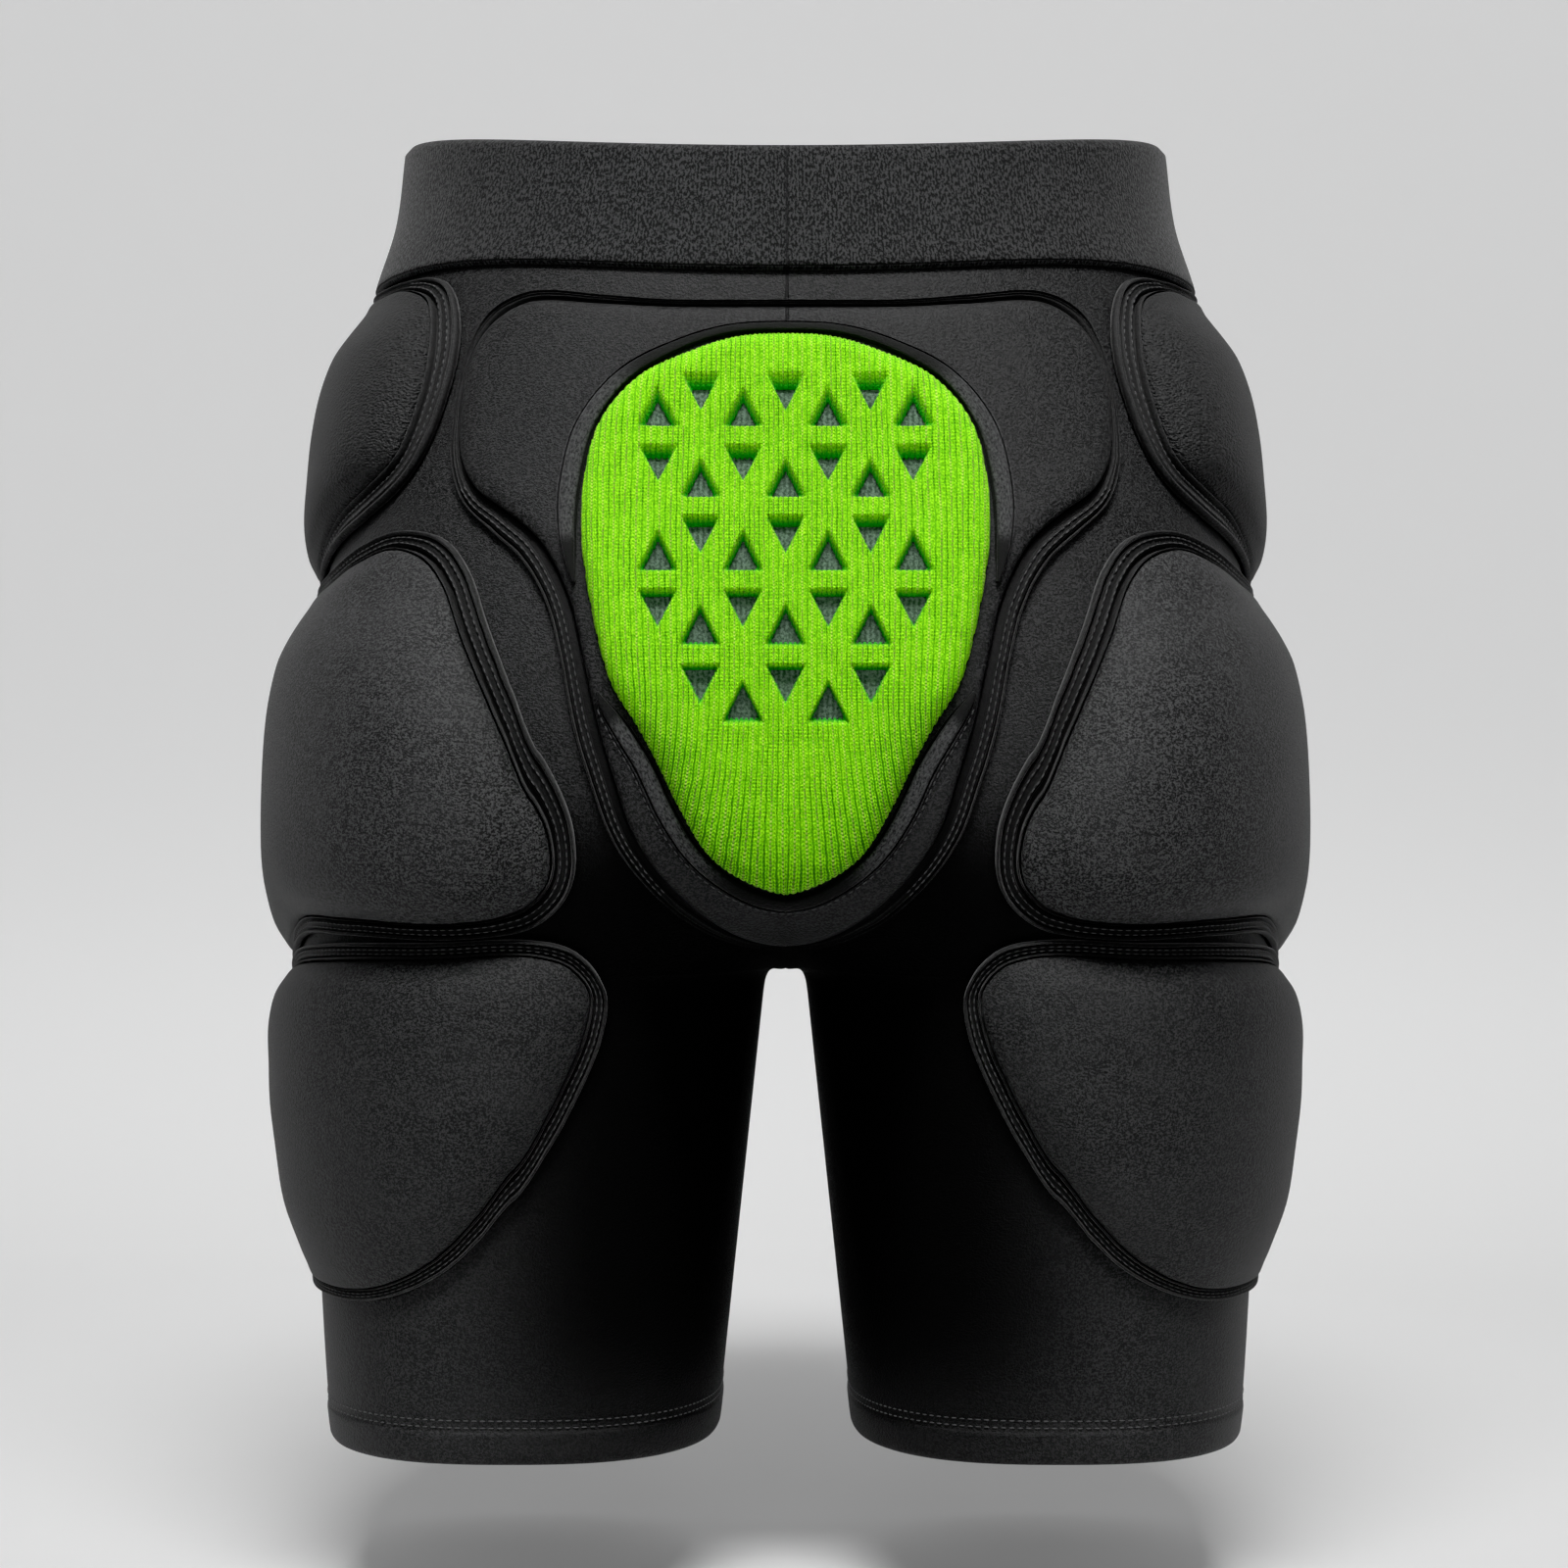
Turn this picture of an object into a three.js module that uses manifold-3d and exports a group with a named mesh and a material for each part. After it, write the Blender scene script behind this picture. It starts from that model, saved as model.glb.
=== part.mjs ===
// Padded hip protection shorts, in millimetres, +Z up, seen from behind along +Y.
// The origin is the centre of the waist opening, at half the height of the waistband at the sides.
import * as THREE from "three";
import { mergeVertices } from "three/addons/utils/BufferGeometryUtils.js";
import Module from "manifold-3d";

const wasm = await Module();
wasm.setup();

// Body form: half widths are across X, depths are along Y from the middle of the body
const waistHalfWidth = 131;
const waistDepth = 99;
const thighHalfWidth = 169;
const seatDepth = 127;
const bellyDepth = 106;
const hemHalfWidth = 158;
const hemBackDepth = 85;
const hemFrontDepth = 84;
const hemHalfGap = 23.7; // half the space between the legs at the hems
const crotchHalfGap = 6.6; // and just under the crotch

// Cloth
const clothWall = 2;
const hemFoldHeight = 11;
const hemFoldRise = 0.8;
const crotchSeam = 2.5; // extra height of the cloth where the crotch seams meet

// Waistband
const bandHeight = 52;
const bandWall = 2.5;
const bandLap = 9; // how far the cloth goes up inside the band
const bandTopDip = 15; // at the middle of the back
const bandBottomDip = 4.5;
const bandBottomLift = 4; // over the back corners of the hips

// Pads and their borders
const clear = 0.4; // between neighbouring pieces
const seat = 0.9; // between the cloth and what is sewn on it
const hipPadHeight = 95;
const hipPadFront = 55; // from the side seam towards the front
const hipPadRise = 13.5;
const hipBorder = 10;
const thighPadHeight = 137;
const thighPadFront = 68;
const thighPadRise = 18;
const thighBorder = 8.5;
const legPadHeight = 113;
const legPadFront = 58;
const legPadBack = 176;
const legPadRise = 14.5;
const legBorder = 5.5;
const weltHeight = 2.8;
const borderStripHeight = 1.6;
const padEdgeHeight = 2.5;
const bandToHipPad = 5;
const thighOverHip = 5; // the thigh pad's crown stands this far above the hip pad's lowest point
const thighBackRise = 0.135; // rise of the thigh pad's lower edge to the back, share of its height
const thighBorderBelow = 0.65; // the border's width under that edge, share of the widest
const legBorderAbove = 0.85; // the same over the leg pad
const borderToBorder = 1;
const legPadToHem = 56.5;

// Yoke and tail pad
const bandToYoke = 10;
const yokeHeight = 206;
const yokeHalfWidth = 104;
const yokeBorder = 8;
const yokeThickness = 4.5;
const yokeToHip = 6;
const yokeToThigh = 12;
const yokeToCrotch = 12;
const yokeSideBorder = 0.4; // the border's width beside the hip pad, share of the widest
const yokeLowBorder = 0.8; // and beside the thigh pad's back corner
const yokeBend = 0.22; // share of its height, from the bottom up, that follows the cleft
const tailDrop = 13.5; // from the yoke's top to the tail pad's top
const tailHeight = 178;
const tailHalfWidth = 64;
const tailAtCorner = 0.79; // yoke's half width at the thigh pad's back corner, share of the tail pad's
const coreThickness = 3.5;
const coverWall = 4;
const rimHeight = 1.6;

// Vents in the tail pad: rows of triangles, point down and point up in turn
const ventWidth = 10.9;
const ventHeight = 10.3;
const ventCorner = 1.4; // cut off each point
const ventColumn = 13.4;
const ventRowPitch = 22.8;
const ventPairStep = 4.9;
const ventRows = 10;
const ventFirstRow = 20.1; // its middle below the tail pad's top

// Levels worked out from the sizes, z above the origin
const bandTop = bandHeight / 2;
const bandBottom = -bandHeight / 2;
const yokeTop = bandBottom - bandBottomDip - bandToYoke;
const yokeBottom = yokeTop - yokeHeight;
const crotchLevel = yokeBottom - yokeToCrotch;
const torsoLength = bandTop - crotchLevel;
const hipPadTop = bandBottom - bandToHipPad;
const hipPadBottom = hipPadTop - hipPadHeight;
const thighPadTop = hipPadBottom + thighOverHip;
const thighPadBottom = thighPadTop - thighPadHeight;
const thighBackBottom = thighPadBottom + thighBackRise * thighPadHeight;
const thighToLegPad = thighBorderBelow * thighBorder + borderToBorder + legBorderAbove * legBorder;
const legPadTop = thighBackBottom - thighToLegPad;
const legPadBottom = legPadTop - legPadHeight;
const hemLevel = legPadBottom - legPadToHem;
const legLength = crotchLevel - hemLevel;

// Sections of the body. down: share of the torso from the waist to the crotch.
// wide, back, belly: how far the section has gone from the waist's size to the widest one.
// crest: where the back stands out most, as a share of the half width. square: section exponent.
const torsoSections = [
  { down: 0.0, wide: 0.0, back: 0.0, belly: 0.0, crest: 0.0, square: 2.05 },
  { down: 0.095, wide: 0.09, back: 0.14, belly: 0.29, crest: 0.015, square: 2.05 },
  { down: 0.18, wide: 0.285, back: 0.29, belly: 0.57, crest: 0.056, square: 2.08 },
  { down: 0.305, wide: 0.47, back: 0.54, belly: 0.86, crest: 0.174, square: 2.15 },
  { down: 0.43, wide: 0.635, back: 0.71, belly: 1.0, crest: 0.297, square: 2.2 },
  { down: 0.55, wide: 0.775, back: 0.89, belly: 1.0, crest: 0.386, square: 2.25 },
  { down: 0.675, wide: 0.82, back: 1.0, belly: 0.86, crest: 0.457, square: 2.3 },
  { down: 0.8, wide: 0.85, back: 0.93, belly: 0.71, crest: 0.497, square: 2.3 },
  { down: 0.905, wide: 0.925, back: 0.64, belly: 0.43, crest: 0.517, square: 2.3 },
  { down: 1.0, wide: 1.0, back: 0.32, belly: 0.14, crest: 0.521, square: 2.3 },
];

// Sections of the legs. down: share of the leg from the crotch to the hem; wide, back and belly:
// how far the section has gone from its size at the crotch to its size at the hem.
const legSections = [
  { down: 0.26, wide: 0.36, back: 0.3, belly: 0.19, crest: 0.53, square: 2.35 },
  { down: 0.57, wide: 0.55, back: 0.61, belly: 0.5, crest: 0.546, square: 2.45 },
  { down: 0.88, wide: 0.82, back: 0.91, belly: 0.875, crest: 0.569, square: 2.6 },
  { down: 1.0, wide: 1.0, back: 1.0, belly: 1.0, crest: 0.577, square: 2.6 },
];

// Pad outlines, from the top over the back and the bottom to the front. across: share of half the
// pad's width, towards the back; up: share of half its height; border: share of its border's width.
const hipOutline = [
  { across: 0.56, up: 1.0, border: 0.38 },
  { across: 0.79, up: 0.88, border: 0.8 },
  { across: 0.92, up: 0.58, border: 1.1 },
  { across: 0.99, up: 0.2, border: 1.15 },
  { across: 0.97, up: -0.22, border: 1.1 },
  { across: 0.82, up: -0.4, border: 1.05 },
  { across: 0.59, up: -0.55, border: 0.95 },
  { across: 0.33, up: -0.74, border: 0.65 },
  { across: 0.04, up: -0.92, border: 0.4 },
  { across: -0.27, up: -1.0, border: 0.35 },
  { across: -0.55, up: -0.9, border: 0.45 },
  { across: -0.8, up: -0.64, border: 0.6 },
  { across: -0.97, up: -0.22, border: 0.7 },
  { across: -0.98, up: 0.25, border: 0.7 },
  { across: -0.84, up: 0.67, border: 0.6 },
  { across: -0.5, up: 0.95, border: 0.4 },
  { across: 0.0, up: 1.0, border: 0.35 },
  { across: 0.3, up: 1.0, border: 0.35 },
];

const thighOutline = [
  { across: 0.45, up: 1.0, border: 0.75 },
  { across: 0.58, up: 0.94, border: 0.95 },
  { across: 0.67, up: 0.81, border: 1.0 },
  { across: 0.75, up: 0.6, border: 1.0 },
  { across: 0.86, up: 0.28, border: 0.95 },
  { across: 0.95, up: -0.06, border: 0.95 },
  { across: 1.0, up: -0.33, border: 0.95 },
  { across: 0.985, up: -0.53, border: 0.9 },
  { across: 0.9, up: -0.67, border: 0.75 },
  { across: 0.74, up: -0.73, border: 0.65 },
  { across: 0.4, up: -0.73, border: 0.65 },
  { across: 0.08, up: -0.745, border: 0.65 },
  { across: -0.14, up: -0.84, border: 0.65 },
  { across: -0.36, up: -0.95, border: 0.65 },
  { across: -0.6, up: -1.0, border: 0.65 },
  { across: -0.83, up: -0.9, border: 0.8 },
  { across: -0.97, up: -0.58, border: 0.9 },
  { across: -1.0, up: -0.1, border: 0.9 },
  { across: -0.94, up: 0.36, border: 0.85 },
  { across: -0.75, up: 0.69, border: 0.6 },
  { across: -0.45, up: 0.795, border: 0.45 },
  { across: -0.1, up: 0.815, border: 0.5 },
  { across: 0.14, up: 0.87, border: 0.7 },
  { across: 0.3, up: 0.95, border: 0.75 },
];

const legOutline = [
  { across: 0.86, up: 1.0, border: 0.85 },
  { across: 0.96, up: 0.94, border: 1.0 },
  { across: 1.0, up: 0.79, border: 1.0 },
  { across: 0.97, up: 0.58, border: 1.0 },
  { across: 0.88, up: 0.27, border: 1.0 },
  { across: 0.75, up: -0.12, border: 1.0 },
  { across: 0.6, up: -0.49, border: 0.95 },
  { across: 0.44, up: -0.79, border: 0.85 },
  { across: 0.25, up: -0.965, border: 0.7 },
  { across: -0.02, up: -1.0, border: 0.65 },
  { across: -0.35, up: -0.96, border: 0.65 },
  { across: -0.66, up: -0.81, border: 0.75 },
  { across: -0.88, up: -0.44, border: 0.9 },
  { across: -1.0, up: 0.08, border: 1.0 },
  { across: -0.98, up: 0.42, border: 1.0 },
  { across: -0.83, up: 0.61, border: 1.0 },
  { across: -0.5, up: 0.66, border: 1.0 },
  { across: -0.27, up: 0.76, border: 1.0 },
  { across: -0.05, up: 0.88, border: 1.0 },
  { across: 0.25, up: 0.94, border: 1.0 },
  { across: 0.6, up: 0.975, border: 0.9 },
];

// Height of each pad's crown at a level of the pad. up: as in its outline; tall: share of its rise.
const hipCrown = [
  { up: -1.0, tall: 0.7 },
  { up: -0.6, tall: 0.84 },
  { up: -0.3, tall: 0.92 },
  { up: 0.0, tall: 1.0 },
  { up: 0.3, tall: 1.0 },
  { up: 0.56, tall: 0.88 },
  { up: 0.75, tall: 0.64 },
  { up: 0.92, tall: 0.38 },
  { up: 1.0, tall: 0.3 },
];
const thighCrown = [
  { up: -1.0, tall: 0.7 },
  { up: -0.65, tall: 0.84 },
  { up: -0.4, tall: 0.95 },
  { up: -0.08, tall: 1.0 },
  { up: 0.24, tall: 0.95 },
  { up: 0.49, tall: 0.82 },
  { up: 0.62, tall: 0.67 },
  { up: 0.76, tall: 0.48 },
  { up: 1.0, tall: 0.36 },
];
const legCrown = [
  { up: -1.0, tall: 0.38 },
  { up: -0.82, tall: 0.52 },
  { up: -0.54, tall: 0.78 },
  { up: -0.24, tall: 0.9 },
  { up: 0.06, tall: 0.98 },
  { up: 0.38, tall: 0.93 },
  { up: 1.0, tall: 0.85 },
];

// Right half of the yoke's outline, from the top to the bottom. wide and tail: the point's X as
// shares of the yoke's and the tail pad's half widths; down: share of the yoke's height.
const yokeOutline = [
  { wide: 0.0, tail: 0.0, down: 0.016, border: 0.33 },
  { wide: 0.37, tail: 0.0, down: 0.015, border: 0.33 },
  { wide: 0.56, tail: 0.0, down: 0.008, border: 0.4 },
  { wide: 0.79, tail: 0.0, down: 0.0, border: 0.5 },
  { wide: 0.89, tail: 0.0, down: 0.025, border: 0.55 },
  { wide: 0.95, tail: 0.0, down: 0.062, border: 0.36 },
  { wide: 0.985, tail: 0.0, down: 0.11, border: 0.26 },
  { wide: 1.0, tail: 0.0, down: 0.18, border: 0.32 },
  { wide: 0.99, tail: 0.0, down: 0.25, border: 0.5 },
  { wide: 0.94, tail: 0.0, down: 0.3, border: 0.76 },
  { wide: 0.85, tail: 0.0, down: 0.335, border: 0.96 },
  { wide: 0.0, tail: 1.23, down: 0.376, border: 1.0 },
  { wide: 0.0, tail: 1.13, down: 0.425, border: 0.93 },
  { wide: 0.0, tail: 1.06, down: 0.48, border: 0.88 },
  { wide: 0.0, tail: 1.0, down: 0.56, border: 0.86 },
  { wide: 0.0, tail: 0.93, down: 0.66, border: 0.93 },
  { wide: 0.0, tail: 0.85, down: 0.745, border: 0.91 },
  { wide: 0.0, tail: 0.77, down: 0.82, border: 0.84 },
  { wide: 0.0, tail: 0.64, down: 0.885, border: 0.74 },
  { wide: 0.0, tail: 0.44, down: 0.947, border: 0.6 },
  { wide: 0.0, tail: 0.2, down: 0.99, border: 0.35 },
  { wide: 0.0, tail: 0.0, down: 1.0, border: 0.2 },
];

// Right half of the tail pad's outline. across: share of its half width; down: of its height.
const tailOutline = [
  { across: 0.0, down: 0.0 },
  { across: 0.26, down: 0.007 },
  { across: 0.5, down: 0.036 },
  { across: 0.72, down: 0.078 },
  { across: 0.9, down: 0.155 },
  { across: 0.98, down: 0.25 },
  { across: 1.0, down: 0.37 },
  { across: 0.95, down: 0.497 },
  { across: 0.855, down: 0.62 },
  { across: 0.735, down: 0.69 },
  { across: 0.64, down: 0.75 },
  { across: 0.52, down: 0.835 },
  { across: 0.375, down: 0.912 },
  { across: 0.2, down: 0.95 },
  { across: 0.0, down: 0.966 },
];

// Middle lines of the rim's two arcs, right half, with their width as a share of the widest
const rimWidth = 6;
const rimBevel = 0.8; // width of a rim's upper face, share of its lower one
const upperRim = [
  { across: 0.0, down: -0.0165, width: 0.36 },
  { across: 0.285, down: -0.0105, width: 0.36 },
  { across: 0.532, down: 0.0185, width: 0.42 },
  { across: 0.805, down: 0.0765, width: 0.6 },
  { across: 0.985, down: 0.165, width: 0.8 },
  { across: 1.06, down: 0.27, width: 0.85 },
  { across: 1.075, down: 0.34, width: 0.7 },
  { across: 1.06, down: 0.41, width: 0.35 },
  { across: 1.045, down: 0.445, width: 0.12 },
];
const lowerRim = [
  { across: 0.0, down: 0.992, width: 0.45 },
  { across: 0.15, down: 0.985, width: 0.48 },
  { across: 0.31, down: 0.958, width: 0.55 },
  { across: 0.455, down: 0.915, width: 0.65 },
  { across: 0.59, down: 0.845, width: 0.75 },
  { across: 0.7, down: 0.765, width: 0.75 },
  { across: 0.815, down: 0.7, width: 0.65 },
  { across: 0.9, down: 0.655, width: 0.35 },
  { across: 0.93, down: 0.635, width: 0.12 },
];

// Points along a half section, and round each outline
const sectionSteps = 18;
const hipSteps = 24;
const thighSteps = 32;
const legSteps = 28;
const yokeSteps = 46;
const tailSteps = 34;
const upperRimSteps = 26;
const lowerRimSteps = 22;

const black = { color: 0x1b1c1e, roughness: 0.82, metalness: 0 };
const welt = { color: 0x131415, roughness: 0.7, metalness: 0 };
const knitBand = { color: 0x222325, roughness: 0.95, metalness: 0 };
const green = { color: 0x82dc12, roughness: 0.9, metalness: 0 };
const foam = { color: 0x2a3a2c, roughness: 0.95, metalness: 0 };
const grey = { color: 0x3a3b3d, roughness: 0.9, metalness: 0 };

const lerp = THREE.MathUtils.lerp;

// A smooth curve through the rows of a table, at x along the column named key
function smoothValue(rows, key, x, name) {
  let i = 0;
  while (i < rows.length - 2 && rows[i + 1][key] < x) i += 1;
  const slope = (k) => {
    const a = rows[Math.max(0, k - 1)];
    const b = rows[Math.min(rows.length - 1, k + 1)];
    return (b[name] - a[name]) / (b[key] - a[key]);
  };
  const step = rows[i + 1][key] - rows[i][key];
  const t = (x - rows[i][key]) / step;
  const start = (1 + 2 * t) * (1 - t) ** 2 * rows[i][name];
  const end = t * t * (3 - 2 * t) * rows[i + 1][name];
  return start + end + t * (1 - t) * step * ((1 - t) * slope(i) - t * slope(i + 1));
}

// The sections in millimetres below the waist, for one smooth table from the waist to the hem
const crotchRow = torsoSections[torsoSections.length - 1];
const crotchBack = lerp(waistDepth, seatDepth, crotchRow.back);
const crotchFront = lerp(waistDepth, bellyDepth, crotchRow.belly);
const bodyTable = [
  ...torsoSections.map((row) => ({
    drop: row.down * torsoLength,
    half: lerp(waistHalfWidth, thighHalfWidth, row.wide),
    back: lerp(waistDepth, seatDepth, row.back),
    front: lerp(waistDepth, bellyDepth, row.belly),
    crest: row.crest,
    square: row.square,
  })),
  ...legSections.map((row) => ({
    drop: torsoLength + row.down * legLength,
    half: lerp(thighHalfWidth, hemHalfWidth, row.wide),
    back: lerp(crotchBack, hemBackDepth, row.back),
    front: lerp(crotchFront, hemFrontDepth, row.belly),
    crest: row.crest,
    square: row.square,
  })),
];

// How far the leg's inner side stands from the middle plane; below zero the two halves have met
const gapRound = 2; // height over which the space between the legs opens
const cleftSlope = 1.6; // how fast the halves grow together above the crotch
const cleftGrowth = 14.2; // and how much faster at the waist
const cleftCurve = cleftGrowth / torsoLength;
const legSplay = (hemHalfGap - crotchHalfGap) / legLength;
function innerGap(z) {
  const above = z - crotchLevel;
  if (above >= 0) return -above * (cleftSlope + cleftCurve * above);
  return crotchHalfGap * (1 - Math.exp(above / gapRound)) - legSplay * above;
}

// The half section at height z, for the outer face or the face one wall further in
function section(z, wall = 0) {
  const drop = bandTop - z;
  const at = (name) => smoothValue(bodyTable, "drop", drop, name);
  const half = at("half");
  const middle = half * at("crest");
  const gap = wall > 0 ? innerGap(z - crotchSeam) + wall : innerGap(z);
  return {
    middle,
    outer: half - middle - wall,
    inner: middle - gap,
    back: at("back") - wall,
    front: at("front") - wall,
    power: at("square"),
  };
}

const signedPower = (value, power) => Math.sign(value) * Math.abs(value) ** power;

// A point of a half section; turn runs from the back (-) round the side (0) to the front (+)
function sectionPoint(form, turn, out = 0) {
  const c = Math.cos(turn);
  const s = Math.sin(turn);
  const wide = (c > 0 ? form.outer : form.inner) + out;
  const deep = (s > 0 ? form.front : form.back) + out;
  const x = form.middle + wide * signedPower(c, 2 / form.power);
  return [x, deep * signedPower(s, 2 / form.power)];
}

// The turn at which a half section reaches the middle plane
function lastTurn(form, out = 0) {
  const share = Math.min(1, form.middle / (form.inner + out));
  return Math.acos(-(share ** (form.power / 2)));
}

// A point of the body's skin, around the side towards the back (mm along the section), at height z
const arcSteps = 36;
function skinPlace(around, z) {
  const form = section(z);
  const direction = around > 0 ? -1 : 1;
  const step = (direction * Math.PI) / arcSteps;
  let walked = 0;
  let last = sectionPoint(form, 0);
  for (let i = 1; ; i += 1) {
    const next = sectionPoint(form, i * step);
    const length = Math.hypot(next[0] - last[0], next[1] - last[1]);
    if (walked + length >= Math.abs(around) || i === arcSteps) {
      const t = (Math.abs(around) - walked) / length;
      const [x, y] = sectionPoint(form, (i - 1 + t) * step);
      return new THREE.Vector3(x, y, z);
    }
    walked += length;
    last = next;
  }
}

// The same point raised by out along the skin's normal
const probe = 1.5;
function skinPoint(around, z, out) {
  const alongA = skinPlace(around + probe, z).sub(skinPlace(around - probe, z));
  const alongZ = skinPlace(around, z + probe).sub(skinPlace(around, z - probe));
  const normal = alongZ.cross(alongA).normalize();
  return skinPlace(around, z).addScaledVector(normal, out);
}

// How far round the side the back of the skin reaches the plane at x, at height z
function aroundAt(x, z) {
  const form = section(z);
  let walked = 0;
  let last = sectionPoint(form, 0);
  for (let i = 1; i <= arcSteps; i += 1) {
    const next = sectionPoint(form, (-i * Math.PI) / arcSteps);
    const length = Math.hypot(next[0] - last[0], next[1] - last[1]);
    if (next[0] <= x) return walked + (length * (last[0] - x)) / (last[0] - next[0]);
    walked += length;
    last = next;
  }
  return walked;
}

// The back surface that the yoke lies on: it bridges the cleft, and follows it under the seat
const bridgeEnd = yokeBottom + yokeBend * yokeHeight;
const cleftShare = 0.75;
function backPoint(x, z, out) {
  const depth = (px, pz) => {
    const form = section(pz);
    const beyond = Math.abs(px) - form.middle;
    const wide = beyond > 0 ? form.outer : form.inner;
    const fall = 1 - Math.min(0.999, Math.abs(beyond) / wide) ** form.power;
    const skin = -form.back * fall ** (1 / form.power);
    if (beyond > 0) return skin;
    const follow = cleftShare * THREE.MathUtils.smoothstep(-pz, -bridgeEnd, -yokeBottom);
    return lerp(-form.back, skin, follow);
  };
  const alongX = new THREE.Vector3(2 * probe, depth(x + probe, z) - depth(x - probe, z), 0);
  const alongZ = new THREE.Vector3(0, depth(x, z + probe) - depth(x, z - probe), 2 * probe);
  const normal = alongX.cross(alongZ).normalize();
  return new THREE.Vector3(x, depth(x, z), z).addScaledVector(normal, out);
}

// One closed body from points and triangles, with its faces pointing out
function closedBody(points, faces) {
  let volume = 0;
  for (const [a, b, c] of faces) volume += points[a].dot(points[b].clone().cross(points[c]));
  const ordered = volume > 0 ? faces : faces.map(([a, b, c]) => [a, c, b]);
  const geometry = new THREE.BufferGeometry();
  geometry.setAttribute("position", new THREE.Float32BufferAttribute(points.flatMap((p) => p.toArray()), 3));
  geometry.setIndex(ordered.flat());
  return mergeVertices(geometry, 1e-4);
}

// Closed body through rings of points, from pole to pole. A ring may have half as many points as
// the next one, and a pole is a ring of one.
function ringBody(rings) {
  const points = rings.flat();
  const faces = [];
  let start = 0;
  for (let r = 0; r + 1 < rings.length; r += 1) {
    const here = rings[r].length;
    const next = rings[r + 1].length;
    const a = (i) => start + (i % here);
    const b = (i) => start + here + (i % next);
    for (let i = 0; i < Math.max(here, next); i += 1) {
      const half = Math.floor(i / 2);
      if (here === 1) faces.push([a(0), b(i), b(i + 1)]);
      else if (next === 1) faces.push([a(i), b(0), a(i + 1)]);
      else if (here === next) faces.push([a(i), b(i), b(i + 1)], [a(i), b(i + 1), a(i + 1)]);
      else if (here > next && i % 2 === 0) faces.push([a(i), b(half), a(i + 1)]);
      else if (here > next) faces.push([a(i), b(half), b(half + 1)], [a(i), b(half + 1), a(i + 1)]);
      else if (i % 2 === 0) faces.push([a(half), b(i), b(i + 1)]);
      else faces.push([a(half), b(i), b(i + 1)], [a(half), b(i + 1), a(half + 1)]);
    }
    start += here;
  }
  return closedBody(points, faces);
}

// Closed tube-like body: sections of equal point counts, joined end to end or capped by fans
function sweepBody(sections, joined) {
  const points = sections.flat();
  const count = sections[0].length;
  const faces = [];
  const spans = joined ? sections.length : sections.length - 1;
  for (let s = 0; s < spans; s += 1) {
    const here = s * count;
    const next = ((s + 1) % sections.length) * count;
    for (let i = 0; i < count; i += 1) {
      const j = (i + 1) % count;
      faces.push([here + i, next + i, next + j], [here + i, next + j, here + j]);
    }
  }
  if (!joined) {
    const last = (sections.length - 1) * count;
    for (let i = 1; i + 1 < count; i += 1) faces.push([0, i, i + 1], [last, last + i + 1, last + i]);
  }
  return closedBody(points, faces);
}

// Even steps along a smooth line through rows of (x, y, share), with the outward normal at each
function smoothLine(rows, steps, closed) {
  const path = rows.map(([x, y, share]) => new THREE.Vector3(x, y, share));
  const curve = new THREE.CatmullRomCurve3(path, closed, "centripetal");
  const spaced = curve.getSpacedPoints(steps);
  if (closed) spaced.pop();
  const count = spaced.length;
  return spaced.map((p, i) => {
    const before = closed ? spaced[(i + count - 1) % count] : spaced[Math.max(0, i - 1)];
    const after = closed ? spaced[(i + 1) % count] : spaced[Math.min(count - 1, i + 1)];
    const run = Math.hypot(after.x - before.x, after.y - before.y);
    return { x: p.x, y: p.y, share: p.z, nx: -(after.y - before.y) / run, ny: (after.x - before.x) / run };
  });
}

// Mirrors a right half outline into a whole one, running over the top to the left
function wholeOutline(half) {
  const left = half.slice(1, -1).reverse().map(([x, y, share]) => [-x, y, share]);
  return [...half, ...left];
}

// Rings of a pad: share is how far a ring has gone from the outline to the middle
function padRing(outline, middle, surface, share, out, every = 1) {
  return outline
    .filter((p, i) => i % every === 0)
    .map((p) => surface(lerp(p.x, middle[0], share), lerp(p.y, middle[1], share), out));
}

// Cross profile of a double welt: across is a share of the border's width
const weltProfile = [
  { across: 0.0, out: 0 },
  { across: 0.08, out: weltHeight },
  { across: 0.28, out: borderStripHeight },
  { across: 0.72, out: borderStripHeight },
  { across: 0.88, out: weltHeight },
  { across: 1.0, out: 0 },
];
function borderBody(outline, surface, width) {
  const sections = outline.map((p) =>
    weltProfile.map((row) => {
      const across = clear + row.across * width * p.share;
      return surface(p.x + p.nx * across, p.y + p.ny * across, seat + row.out);
    }),
  );
  return sweepBody(sections, true);
}

// Levels of the wall: shares of the torso, from its top to the crotch, and of the leg from there
const torsoLevels = [0, 0.1, 0.22, 0.35, 0.48, 0.61, 0.73, 0.83, 0.9, 0.95, 0.98, 1];
const legLevels = [0.012, 0.06, 0.18, 0.45];

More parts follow.
